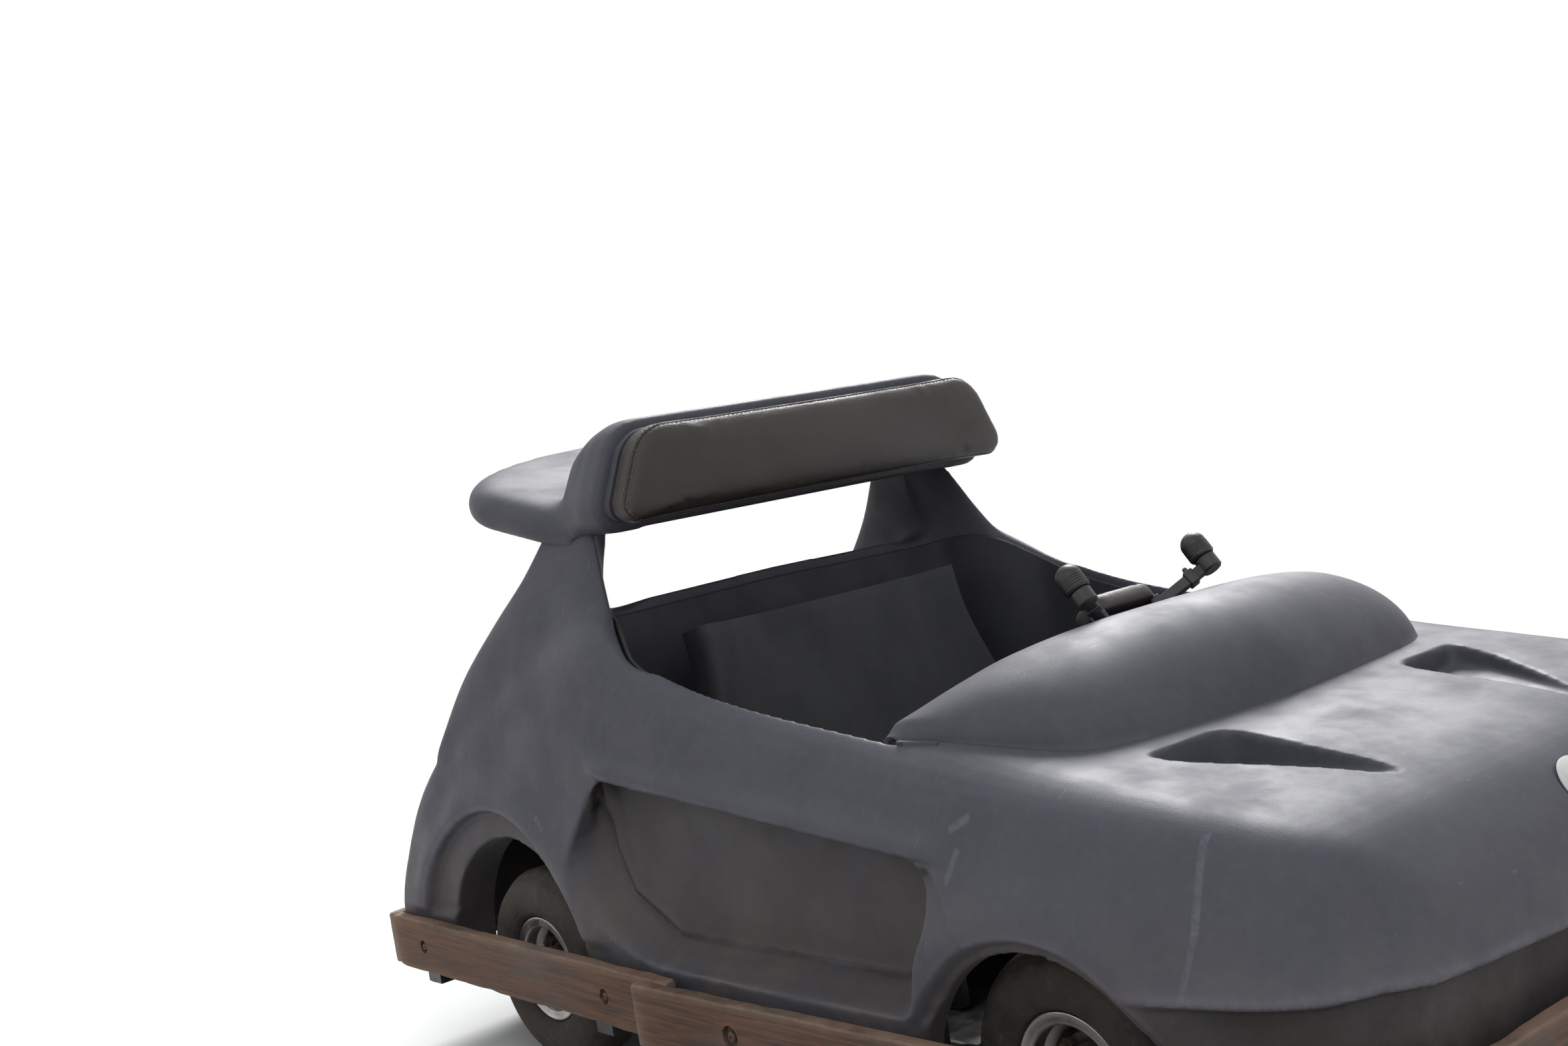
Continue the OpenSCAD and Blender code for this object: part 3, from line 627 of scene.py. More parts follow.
@functools.cache
def black_rubber():
    f = Finish("black_rubber", roughness=0.5, specular=0.5)
    f.colour(f.mix(f.cloud(40, 5, 0.5, 0.35, 0.7), (0.016, 0.016, 0.017), (0.036, 0.034, 0.033)))
    f.rough(f.cloud(70, 4, 0.5, 0.3, 0.7, 0.38, 0.6))
    f.bumpy((f.noise(700, 2), 0.0002, 0.4))
    return f.material


@functools.cache
def thread():
    f = Finish("pale_thread", roughness=0.85, specular=0.2)
    f.colour(f.mix(f.noise(300, 2), (0.17, 0.155, 0.142), (0.30, 0.28, 0.255)))
    f.bumpy((f.noise(2500, 1), 0.0002, 0.5))
    return f.material


@functools.cache
def pale_disc():
    f = Finish("pale_disc", roughness=0.35, specular=0.5)
    f.colour(f.mix(f.cloud(30, 6, 0.6, 0.45, 0.75, 0, 0.5), (0.74, 0.74, 0.72), (0.55, 0.53, 0.50)))
    f.bumpy((f.noise(400, 2), 0.0001, 0.3))
    return f.material


# ---------------------------------------------------------------- repeats


def repeat(name, unit, points, turns, material):
    """Copies of a small unit at points, each with its own Euler turn, as one mesh."""
    mesh = bpy.data.meshes.new(name)
    mesh.from_pydata([tuple(p) for p in points], [], [])
    attribute = mesh.attributes.new("turn", "FLOAT_VECTOR", "POINT")
    attribute.data.foreach_set("vector", np.array(turns, float).ravel())
    obj = bpy.data.objects.new(name, mesh)
    bpy.context.scene.collection.objects.link(obj)
    tree = bpy.data.node_groups.new(name + "_tree", "GeometryNodeTree")
    tree.interface.new_socket("Geometry", in_out="INPUT", socket_type="NodeSocketGeometry")
    size = tree.interface.new_socket("Size", in_out="INPUT", socket_type="NodeSocketFloat")
    tree.interface.new_socket("Geometry", in_out="OUTPUT", socket_type="NodeSocketGeometry")
    add = tree.nodes.new
    start, end = add("NodeGroupInput"), add("NodeGroupOutput")
    to_points, info = add("GeometryNodeMeshToPoints"), add("GeometryNodeObjectInfo")
    named, turn = add("GeometryNodeInputNamedAttribute"), add("FunctionNodeEulerToRotation")
    on_points, real = add("GeometryNodeInstanceOnPoints"), add("GeometryNodeRealizeInstances")
    paint = add("GeometryNodeSetMaterial")
    named.data_type = "FLOAT_VECTOR"
    named.inputs["Name"].default_value = "turn"
    info.inputs["Object"].default_value = unit
    paint.inputs["Material"].default_value = material
    for a, b in ((start.outputs[0], to_points.inputs["Mesh"]),
                 (to_points.outputs[0], on_points.inputs["Points"]),
                 (info.outputs["Geometry"], on_points.inputs["Instance"]),
                 (named.outputs["Attribute"], turn.inputs[0]),
                 (turn.outputs[0], on_points.inputs["Rotation"]),
                 (start.outputs["Size"], on_points.inputs["Scale"]),
                 (on_points.outputs[0], real.inputs[0]),
                 (real.outputs[0], paint.inputs["Geometry"]),
                 (paint.outputs[0], end.inputs[0])):
        tree.links.new(a, b)
    modifier = obj.modifiers.new("Repeat", "NODES")
    modifier.node_group = tree
    modifier[size.identifier] = 1.0
    bake(obj)
    bpy.data.objects.remove(unit)
    return obj


def facing(direction):
    """The turn that points a unit's +Z along a direction."""
    return Vector(direction).to_track_quat("Z", "Y").to_euler("XYZ")


def bolt_unit(washer_r, head_r):
    """A round washer with a low domed bolt head, standing on z = 0."""
    profile = [(0.0005, 0.0), (washer_r, 0.0), (washer_r, 0.0014), (washer_r - 0.0006, 0.0018),
               (head_r + 0.0004, 0.0018), (head_r, 0.0048), (head_r * 0.7, 0.0064),
               (head_r * 0.36, 0.0066), (head_r * 0.3, 0.0046), (0.0005, 0.0046)]
    return shade(spin("bolt_unit", profile, 20, (0, 0, 0), "Z"), 30)


def nut_unit(r, height):
    """A six-sided nut on a stud, standing on z = 0."""
    rings = []
    for z, s in ((0, 0.97), (0.0008, 1.0), (height - 0.0008, 1.0), (height, 0.93)):
        rings.append([(r * s * math.cos(math.radians(60 * k)), r * s * math.sin(math.radians(60 * k)), z)
                      for k in range(6)])
    nut = loft("nut_unit", rings)
    stud = spin("stud", [(0.0004, height), (r * 0.52, height), (r * 0.52, height + 0.006),
                         (r * 0.42, height + 0.0075), (0.0004, height + 0.0075)], 14, (0, 0, 0), "Z")
    return shade(join("nut_unit", [nut, stud]), 30)


# ---------------------------------------------------------------- body shape

# Columns in mm: distance ahead, half width at the skirt, at the waist, waist height,
# half width at the shoulder, shoulder height, crown height, skirt height
WAIST, CROWN = 2, 6
BODY = [
    [-343, 440, 460, 222, 380, 325, 340, 160], [-330, 446, 462, 232, 400, 366, 382, 150],
    [-290, 447, 462, 250, 408, 428, 446, 150], [-200, 447, 461, 275, 404, 500, 514, 150],
    [-100, 448, 459, 300, 405, 556, 570, 150], [0, 450, 458, 330, 406, 600, 612, 150],
    [110, 454, 462, 345, 412, 634, 642, 150], [220, 460, 470, 345, 420, 652, 656, 150],
    [300, 464, 476, 345, 426, 621, 627, 150], [360, 468, 480, 345, 428, 594, 602, 150],
    [430, 472, 484, 345, 428, 571, 580, 150], [520, 477, 488, 345, 428, 549, 560, 150],
    [640, 482, 493, 340, 428, 528, 542, 150], [800, 487, 499, 335, 428, 504, 518, 150],
    [950, 490, 503, 325, 424, 474, 484, 150], [1080, 491, 504, 315, 422, 454, 459, 150],
    [1190, 489, 502, 305, 418, 440, 440, 150], [1270, 480, 492, 296, 408, 425, 425, 150],
    [1330, 455, 468, 288, 386, 403, 406, 150], [1372, 418, 438, 280, 342, 364, 375, 150],
    [1398, 378, 404, 274, 300, 328, 339, 160], [1408, 350, 388, 268, 276, 298, 304, 160],
]
BODY_ROWS = smooth_rows(BODY, 4)
ROW_X = np.array([r[0] for r in BODY_ROWS])
BODY_MIN, BODY_MAX = BODY[0][0], BODY[-1][0]
# Distance ahead, then how far the shoulder's rounding reaches there
SHOULDER_ROUND = [800, 950, 1080, 1408], [90, 66, 46, 40]
WALL = 8
BODY_TRIANGLES = 180000
# How much thicker the wall is round the nose, where the fascia steps in
NOSE_WALL = 16
# Height, distance ahead of the rear and front edge, half width inside and outside
PILLARS = [[440, -250, 322, 344, 420], [470, -230, 318, 340, 416], [560, -152, 312, 332, 408],
           [640, -62, 302, 318, 388], [700, 4, 286, 300, 364], [768, 58, 254, 286, 338]]
COCKPIT = [[205, 340, 60], [330, 402, 75], [788, 402, 60]]
# Outline of the side recess at the surface, then of its deeper panel with the half width there, and
# how far the corners of both are rounded
RECESS_EDGE = [(271, 438), (160, 306), (250, 231), (345, 205), (866, 212), (907, 330), (894, 380)]
RECESS_PANEL = [(238, 445, 424), (241, 335, 420), (262, 278, 417), (352, 231, 418), (806, 232, 422),
                (872, 322, 426), (868, 390, 426)]
EDGE_ROUND, PANEL_ROUND = [22, 60, 50, 34, 24, 50, 26], [14, 40, 26, 30, 22, 30, 20]
REAR_ARCH = {"at": (-2, 150), "open": 190, "ring_at": (-30, 148), "ring": 229}
FRONT_ARCH = {"at": (WHEELBASE + 32, 125), "open": 178, "ring_at": (WHEELBASE + 34, 123), "ring": 193}
# Height and distance ahead of the crease that runs from the recess down to the front arch
ARCH_CREASE = [[225, 293, 311, 337, 373], [985, 977, 961, 939, 911]]
# Half width at the nose, and the height of the ridge above its fascia there
NOSE_RIDGE = [[0, 120, 275, 403, 445], [259, 262, 272, 283, 279]]
# How far the fascia lies in from the body's own form, and how far the ridge stands out from it
FASCIA_STEP, RIDGE_OUT = 13, 7
# Points of a half section: up the skirt, round the waist and the shoulder, and along the top
SKIRT_POINTS, BEND_POINTS, TOP_POINTS = 3, 8, 10
# Place that the hood scoop's floor narrows towards: distance ahead and from the middle
SCOOP_MIDDLE = 1130, 210


def half_ring(row, inset=0.0, foot=None):
    """Half outline of a body section, from the skirt to the crown, in mm."""
    foot = row[7] if foot is None else foot
    low, mid = np.array([row[1] - inset, foot]), np.array([row[2] - inset, row[3]])
    top, crown = np.array([row[4] - inset, row[5] - inset]), np.array([0.0, row[6] - inset])

    def corner(a, b, c, r):
        p = b + (a - b) * min(0.5, r / np.linalg.norm(a - b))
        q = b + (c - b) * min(0.5, r / np.linalg.norm(c - b))
        return [(1 - t) ** 2 * p + 2 * t * (1 - t) * b + t * t * q for t in np.linspace(0, 1, BEND_POINTS)]

    upper = corner(mid, top, crown, np.interp(row[0], *SHOULDER_ROUND))
    tail = [upper[-1] + (crown - upper[-1]) * t for t in np.linspace(0.1, 1, TOP_POINTS)]
    side = [low + (mid - low) * t for t in (0.0, 0.2, 0.4)]
    return side + corner(low, mid, top, 62) + upper + tail


def body_form(name, inset=0.0):
    """The body's closed outside form, or with an inset the hollow inside it."""
    rear, front = BODY_MIN + inset, BODY_MAX - inset - (NOSE_WALL if inset else 0)
    rings = []
    for row in BODY_ROWS:
        x = ahead(rear + (row[0] - BODY_MIN) * (front - rear) / (BODY_MAX - BODY_MIN))
        foot = 20 if inset else row[7]
        thick = inset + (NOSE_WALL * float(ramp(row[0], 1150, 1260)) if inset else 0)
        half = half_ring(row, thick, foot)
        ring = [(x, p[0] * MM, p[1] * MM) for p in half]
        ring += [(x, -p[0] * MM, p[1] * MM) for p in half[-2::-1]]
        ring += [(x, 0.0, foot * MM)]
        rings.append(ring)
    return loft(name, rings)


def row_at(distance):
    """A body section blended at any distance ahead, as a row of the table."""
    return [np.interp(distance, ROW_X, [r[k] for r in BODY_ROWS]) for k in range(8)]


def column_at(d, column):
    """One column of the table at many distances ahead."""
    return np.interp(d, ROW_X, [r[column] for r in BODY_ROWS])


def in_car(co):
    """Points as distance ahead, distance from the middle and height, in mm."""
    return (co[:, 0] - REAR_X) / MM, np.abs(co[:, 1]) / MM, co[:, 2] / MM


def recess_top(d):
    """How far along the recess's top edge a distance lies, from 0 to 1, and the edge's height there."""
    (d0, z0), (d1, z1) = RECESS_EDGE[0], RECESS_EDGE[-1]
    t = (d - d0) / (d1 - d0)
    return t, z0 + (z1 - z0) * t


def side_y(distance, height):
    """Half width of the body's side at a place, in mm."""
    half = np.array(half_ring(row_at(distance))[:SKIRT_POINTS + 2 * BEND_POINTS + 2])
    order = np.argsort(half[:, 1])
    return float(np.interp(height, half[:, 1][order], half[:, 0][order]))


def deck_z(distance, y):
    """Height of the body's top at a place, in mm."""
    half = np.array(half_ring(row_at(distance)))[SKIRT_POINTS + BEND_POINTS:]
    return float(np.interp(abs(y), half[::-1, 0], half[::-1, 1]))


def pillar_form(side):
    """A rear pillar: broad at its inner face, with its front corner cut back outside."""
    rings = []
    for z, back, front, inner, outer in smooth_rows(PILLARS, 4):
        plan = rounded([(back, outer), (back + 5, inner), (front, inner), (front - 55, outer)],
                       [34, 44, 30, 60], 7)
        rings.append([(ahead(x), side * y * MM, z * MM) for x, y in even(plan, 56)])
    return loft("pillar_form", rings)


def recess_cutter(side, grow=0.0):
    """The hollow of the side recess, or with grow the lump that carries its walls."""
    def spread(points, amount):
        """The outline with each corner moved away from its middle."""
        centre = np.mean([p[:2] for p in points], axis=0)
        out = []
        for p in points:
            v = np.array(p[:2], float) - centre
            out.append(centre + v * (1 + amount / np.linalg.norm(v)))
        return out
    edge = rounded(spread(RECESS_EDGE, grow), EDGE_ROUND)
    panel = rounded([(*q, p[2]) for q, p in zip(spread(RECESS_PANEL, grow), RECESS_PANEL)], PANEL_ROUND)
    rings = [[(ahead(p[0]), side * 0.56, p[1] * MM) for p in edge],
             [(ahead(p[0]), side * (side_y(*p) - 3) * MM, p[1] * MM) for p in edge]]
    for t in (0.5, 1.0):
        ring = []
        for e, q in zip(edge, panel):
            ease = t if t == 1 else 0.58
            x, z = e[0] + (q[0] - e[0]) * t, e[1] + (q[1] - e[1]) * t
            y = (side_y(*e) - 3) * (1 - ease) + (q[2] - grow) * ease
            ring.append((ahead(x), side * y * MM, z * MM))
        rings.append(ring)
    return loft("recess_cutter", rings)


def scoop_cutter(side, grow=0.0):
    """Hood scoop: deep at its rear inner corner, running out to a point ahead."""
    plan = rounded([(1066 - grow, 166 - grow), (1062 - grow, 292 + grow), (1104, 288 + grow),
                    (1286 + grow, 184 + grow), (1286 + grow, 170 - grow)], [34, 14, 50, 5, 5])
    cx, cy = SCOOP_MIDDLE
    rings = []
    for lift, shrink in ((40, 0), (1, 0), (None, 5)):
        ring = []
        for x, y in plan:
            px, py = x + (cx - x) * shrink / 130, y + (cy - y) * shrink / 60
            depth = 44 * max(0.05, 1 - (px - 1085) / 205) ** 0.85 + grow
            depth *= 1.0 - 0.5 * max(0.0, (py - 175) / 115)
            z = deck_z(px, py) + (lift if lift is not None else -depth)
            ring.append((ahead(px), side * py * MM, z * MM))
        rings.append(ring)
    return loft("scoop_cutter", rings)


def arch_drum(name, at, radius, side, reach):
    """A drum across the car at a wheel arch, from one distance off the middle to another."""
    d, z = at
    rings = [[(ahead(d) + radius * MM * math.cos(a), side * y * MM, (z + radius * math.sin(a)) * MM)
              for a in np.linspace(0, 2 * math.pi, 96, endpoint=False)] for y in reach]
    return loft(name, rings)


def cockpit_outline(grow=0.0):
    """Plan of the cockpit opening as (x, y) in metres."""
    pts = []
    for d, half, r in COCKPIT:
        for k in range(24):
            a = 2 * math.pi * k / 24
            for s in (-1, 1):
                pts.append((ahead(d + (r + grow) * math.cos(a)),
                            (s * (half - r) + (r + grow) * math.sin(a)) * MM))
    return hull_ring(pts)


def prism(name, outline, z0, z1):
    return loft(name, [[(x, y, z0) for x, y in outline], [(x, y, z1) for x, y in outline]])


def shape_details(obj):
    """Moves the dense surface out or in for the arch crests, the lip roll and the nose ridge."""
    s = body_settings()
    co = points_of(obj)
    d, y, z = in_car(co)
    out = np.zeros(len(co))
    waist = column_at(d, WAIST)
    near_side = ramp(y, waist - 62, waist - 24)
    for arch in (REAR_ARCH, FRONT_ARCH):
        cx, cz = arch["ring_at"]
        r = np.hypot(d - cx, z - cz)
        outside = ramp(r, arch["ring"] - 2, arch["ring"] + 3)
        crest = bump(r, arch["ring"] + 16, 30)
        out += near_side * (outside * crest * s.arch_crest / MM - (1 - outside) * 8.0)
    out *= ramp(z, 206, 224)
    t, top = recess_top(d)
    above = z - top
    out += (near_side * bump(above, 16, 15) * ramp(t, -0.06, 0.02) * ramp(-t, -1.08, -0.98)
            * ramp(above, 0, 6) * s.lip_roll / MM)
    crease = np.interp(z, *ARCH_CREASE)
    column = ramp(crease - d, 0, 5) * ramp(d, 890, 905) * ramp(z, 226, 240) * ramp(-z, -380, -366)
    out -= near_side * column * 7
    panel = np.array([q[:2] for q in RECESS_PANEL[:4]], float)
    line = np.concatenate([np.linspace(a, b, 40) for a, b in zip(panel, panel[1:])])
    inside = (np.abs(y - 425) < 22) & (d > 200) & (d < 380)
    far = np.full(len(co), 99.0)
    far[inside] = gap_to(line, d[inside], z[inside])
    ahead_of = np.sign(d - np.interp(z, panel[::-1, 1], panel[::-1, 0]))
    out += bump(far * ahead_of, 7, 4.5) * 2.6 - bump(far * ahead_of, -1, 3.5) * 3.0
    nose = ramp(d, 1150, 1260)
    ridge = np.interp(y, *NOSE_RIDGE)
    fascia = ramp(-(z - ridge), 0, 7)
    around = np.maximum(near_side, ramp(d, 1340, 1392))
    out += around * nose * (bump(z, ridge + 2, 20) * RIDGE_OUT - fascia * (FASCIA_STEP + RIDGE_OUT))
    centre = np.stack([np.full(len(co), ahead(1020)), np.zeros(len(co))], 1)
    direction = co[:, :2] - centre
    side_ways = np.stack([np.zeros(len(co)), np.sign(co[:, 1])], 1)
    direction /= np.maximum(np.linalg.norm(direction, axis=1, keepdims=True), 1e-9)
    blend = ramp(d, 1180, 1360)[:, None]
    way = side_ways * (1 - blend) + direction * blend
    co[:, :2] += way * out[:, None] * MM
    return set_points(obj, co)


def soft_zones(co):
    """Where the surface is evened out most: round the pillars' feet."""
    d, y, z = in_car(co)
    crown = column_at(d, CROWN)
    shoulder = ramp(y, 230, 300) * ramp(-y, -445, -425) * ramp(d, -300, -220) * ramp(-d, -380, -340)
    near = bump(z, crown + 6, 60)
    return np.clip(shoulder * near * ramp(-z, -768, -690), 0, 1)


def rim_zone(co):
    """Where the cockpit's rim is rolled over."""
    outline = np.array(even(cockpit_outline(), 260))
    gap = np.full(len(co), 1.0)
    near = (np.abs(co[:, 1]) < 0.45) & (co[:, 0] > ahead(150)) & (co[:, 0] < ahead(840)) & (co[:, 2] > 0.47)
    gap[near] = gap_to(outline, co[near, 0], co[near, 1])
    crown = column_at(in_car(co)[0], CROWN) * MM
    return np.where(near, ramp(-gap, -0.024, -0.010) * ramp(co[:, 2] - crown, -0.06, -0.04), 0)


def dirt_and_painted_shade_zones(co):
    """Where dirt lies and shade is painted: the fascia under the nose ridge, the rings in the wheel arches
    and the side recess, darkest under its lip and along the fold round its panel.
    """
    d, y, z = in_car(co)
    waist = column_at(d, WAIST)
    # The fascia below the nose ridge is darkened, partly as dirt and partly as painted shade.
    dirt = 0.86 * ramp(d, 1150, 1200) * ramp(-(z - np.interp(y, *NOSE_RIDGE)), -1, 6)
    # The inset rings inside the wheel arches are darkened.
    for arch in (REAR_ARCH, FRONT_ARCH):
        r = np.hypot(d - arch["ring_at"][0], z - arch["ring_at"][1])
        ring = ramp(-r, -arch["ring"] - 3, -arch["ring"] + 3) * ramp(y, waist - 60, waist - 40)
        dirt = np.maximum(dirt, 0.68 * ring)
    # The side recess is darkened as painted shade with some dirt, most in a painted shadow just under its lip
    # and along the fold round its panel.
    under = recess_top(d)[1] - z
    recess = (ramp(d, 170, 190) * ramp(-d, -915, -900) * ramp(-y, 10 - waist, 22 - waist)
              * ramp(y, 380, 400) * ramp(under, -3, 3))
    line = np.array(even(rounded([q[:2] for q in RECESS_PANEL], PANEL_ROUND), 260))
    near = np.flatnonzero(recess > 0.01)
    fold = np.zeros(len(co))
    fold[near] = bump(gap_to(line, d[near], z[near]), 0, 4.5)
    return np.maximum(dirt, recess * np.clip(0.6 + 0.4 * np.maximum(fold, bump(under, 6, 7)), 0, 1))


def wear_and_painted_highlight_zones(co):
    """Where edges are painted paler, as highlights and partly as edge wear: the nose ridge, the recess lip
    and the arch crests.
    """
    d, y, z = in_car(co)
    waist = column_at(d, WAIST)
    # Painted highlights with some edge wear: paler along the nose ridge, the top of the recess lip and the
    # arch crests.
    worn = ramp(d, 1150, 1220) * bump(z - np.interp(y, *NOSE_RIDGE), 5, 6)
    outer = ramp(y, waist - 30, waist - 12)
    over = z - recess_top(d)[1]
    rear, front = RECESS_EDGE[0][0], RECESS_EDGE[-1][0]
    worn = np.maximum(worn, 0.6 * outer * bump(over, 6, 6) * ramp(d, rear - 20, rear + 20)
                      * ramp(-d, -front - 20, -front + 20))
    for arch in (REAR_ARCH, FRONT_ARCH):
        r = np.hypot(d - arch["ring_at"][0], z - arch["ring_at"][1])
        worn = np.maximum(worn, 0.8 * outer * bump(r, arch["ring"] + 5, 5) * ramp(z, 206, 224))
    return worn


class RIDECAR_OT_body_shell(bpy.types.Operator):
    """Moulded body with rolled edges, side recesses, arches, scoops and pillars"""

    bl_idname = "ridecar.body_shell"
    bl_label = "Body shell"

    def execute(self, context):
        shell = body_form("body_moulding")
        for side in SIDES.values():
            combine(shell, pillar_form(side))
            carve(shell, recess_cutter(side))
            carve(shell, scoop_cutter(side))
            for arch in (REAR_ARCH, FRONT_ARCH):
                carve(shell, arch_drum("arch", arch["at"], arch["open"], side, (300, 620)))
        carve(shell, prism("pocket", cockpit_outline(), 0.2, 1.2))
        disc = rod("disc_seat", 0.0352, -0.002, 0.06, 48, (0, 0, 0), "Z")
        carve(shell, place(disc, disc_matrix()))
        remesh(shell, body_settings().grain)
        relax(shell, 2)
        relax(shell, 160, soft_zones)
        relax(shell, 20, rim_zone)
        shape_details(shell)
        relax(shell, 1)
        hollow = body_form("hollow", WALL)
        for side in SIDES.values():
            carve(hollow, recess_cutter(side, WALL))
            carve(hollow, scoop_cutter(side, 5))
            for arch, depth in ((REAR_ARCH, 384), (FRONT_ARCH, 464)):
                lip = arch_drum("arch_lip", arch["ring_at"], arch["ring"] + WALL, side, (depth, 640))
                carve(hollow, lip)
        rim = prism("rim_turn", cockpit_outline(9), 0.2, 1.2)
        carve(rim, body_form("deeper", 26))
        carve(hollow, rim)
        carve(shell, hollow)
        tunnel = box_piece("tunnel", (ahead(780), -0.06, 0.38), (ahead(960), 0.06, 0.54))
        carve(shell, tunnel)
        many = sum(len(p.vertices) - 2 for p in shell.data.polygons)
        thin(shell, min(1, BODY_TRIANGLES / many))
        # The grime number carries dirt with painted shade. The worn number carries painted highlights with
        # edge wear.
        for name, zones in (("grime", dirt_and_painted_shade_zones), ("worn", wear_and_painted_highlight_zones)):
            mark(shell, name, zones(points_of(shell)))
        dress(shade(shell, 50), body_plastic(), "car", ["body_shell"])
        return {"FINISHED"}


def disc_matrix():
    return Matrix.Translation((ahead(1375), 0, 0.3675)) @ Matrix.Rotation(math.radians(52), 4, "Y")


# Distance from the middle, distance ahead of the front edge and of the rear lip, lip height, in mm
COWL = [[0, 1054, 838, 553], [120, 1043, 833, 551], [200, 1034, 824, 546], [260, 1026, 815, 539],
        [300, 1014, 807, 530], [328, 992, 800, 522], [350, 955, 795, 515], [372, 900, 789, 508],
        [388, 845, 785, 503], [398, 806, 782, 500]]
# How far the cowl's tips sink into the body, so that no edge hangs free
TIP_DEPTH = 9


class RIDECAR_OT_cowl(bpy.types.Operator):
    """Domed cowl over the hood, open to the driver, with a rolled rear lip"""

    bl_idname = "ridecar.cowl"
    bl_label = "Cowl"

    def execute(self, context):
        rows = smooth_rows(COWL, 5)
        rows = [r * np.array([-1, 1, 1, 1]) for r in rows[:0:-1]] + rows
        rings = []
        for y, base, lip, lip_z in rows:
            sunk = TIP_DEPTH * float(ramp(abs(y), 380, 398))
            droop = max(0.0, lip_z - deck_z(lip, y) - TIP_DEPTH) * float(ramp(abs(y), 352, 392))
            base_z, lip_z = deck_z(base, y) + 0.4 - sunk, lip_z - droop - sunk
            reach = base - lip
            p0, p3 = np.array([base, base_z]), np.array([lip, lip_z])
            rise = lip_z - base_z
            p1 = p0 + np.array([-0.124 * reach, 1.12 * rise])
            p2 = p3 + np.array([0.376 * reach, 0.62 * rise])
            column = [(ahead(base + 0.5), y * MM, (deck_z(base, y) + 0.2) * MM)]
            for t in np.linspace(0, 1, 26):
                q = (1 - t) ** 3 * p0 + 3 * t * (1 - t) ** 2 * p1 + 3 * t * t * (1 - t) * p2 + t**3 * p3
                column.append((ahead(q[0]), y * MM, (q[1] + 2.2 * min(1, t * 9)) * MM))
            column.append((ahead(lip - 5), y * MM, (lip_z - 3) * MM))
            column.append((ahead(lip - 6), y * MM, (lip_z - 8) * MM))
            rings.append(column)
        cowl = loft("cowl_dome", rings, caps=False, closed=False)
        top = max(cowl.data.polygons, key=lambda p: p.center.z)
        if top.normal.z < 0:
            cowl.data.flip_normals()
        modify(cowl, "SOLIDIFY", thickness=0.0075, offset=-1, use_even_offset=True)
        bevel(cowl, 0.002, 60)
        dress(shade(cowl, 50), body_plastic(), "car", ["cowl"])
        return {"FINISHED"}


# ---------------------------------------------------------------- headrest

# Width, height and thickness of the pad, and the height of its lower edge
PAD_W, PAD_H, PAD_T, PAD_Z = 730, 142, 56, 750
# Distance ahead of the hump's face and of the pad's back, and how far the seam lies behind the pad's front
HUMP_FACE = 258
PAD_BACK = HUMP_FACE + 0.3
SEAM_BACK = 17
# Pivot of the wing, then its nose, half width and depth from the pivot, thickness and slope in degrees
WING_FRONT, WING_NOSE, WING_HALF, WING_DEPTH, WING_T, WING_SLOPE = 226, 200, 372, 222, 56, 14


def headrest_outline(inset=0.0):
    """Outline of the headrest as (y, z) in mm: large upper corners, small lower ones."""
    pts = []
    for side in (-1, 1):
        for y, z, r in ((PAD_W / 2 - 30, PAD_Z + 34, 30), (PAD_W / 2 - 90, PAD_Z + PAD_H - 68, 68)):
            for a in (2 * math.pi * k / 96 for k in range(96)):
                pts.append((side * y + (r - inset) * math.cos(a), z + (r - inset) * math.sin(a)))
    return even(hull_ring(pts, (0, PAD_Z + PAD_H / 2)), 160)


def even(outline, count):
    """A closed outline with its points spread evenly along it."""
    p = np.array(list(outline) + [outline[0]], float)
    s = np.concatenate([[0], np.cumsum(np.linalg.norm(np.diff(p, axis=0), axis=1))])
    at = np.linspace(0, s[-1], count, endpoint=False)
    return [tuple(np.interp(a, s, p[:, k]) for k in range(p.shape[1])) for a in at]


def wing_matrix():
    pivot = Vector((ahead(WING_FRONT), 0, (PAD_Z - 18) * MM))
    return Matrix.Translation(pivot) @ Matrix.Rotation(math.radians(WING_SLOPE), 4, "Y")


def wing_plan(inset):
    pts = [(-50 + (WING_DEPTH - inset) * math.cos(a), (WING_HALF - inset) * math.sin(a))
           for a in np.linspace(math.pi / 2, 3 * math.pi / 2, 60)]
    r = 60 - min(inset, 20)
    for side, turn in ((-1, np.linspace(-math.pi / 2, 0, 12)), (1, np.linspace(0, math.pi / 2, 12))):
        pts += [(WING_NOSE - 60 + r * math.cos(a), side * (WING_HALF - 78) + r * math.sin(a)) for a in turn]
    return even(pts, 150)


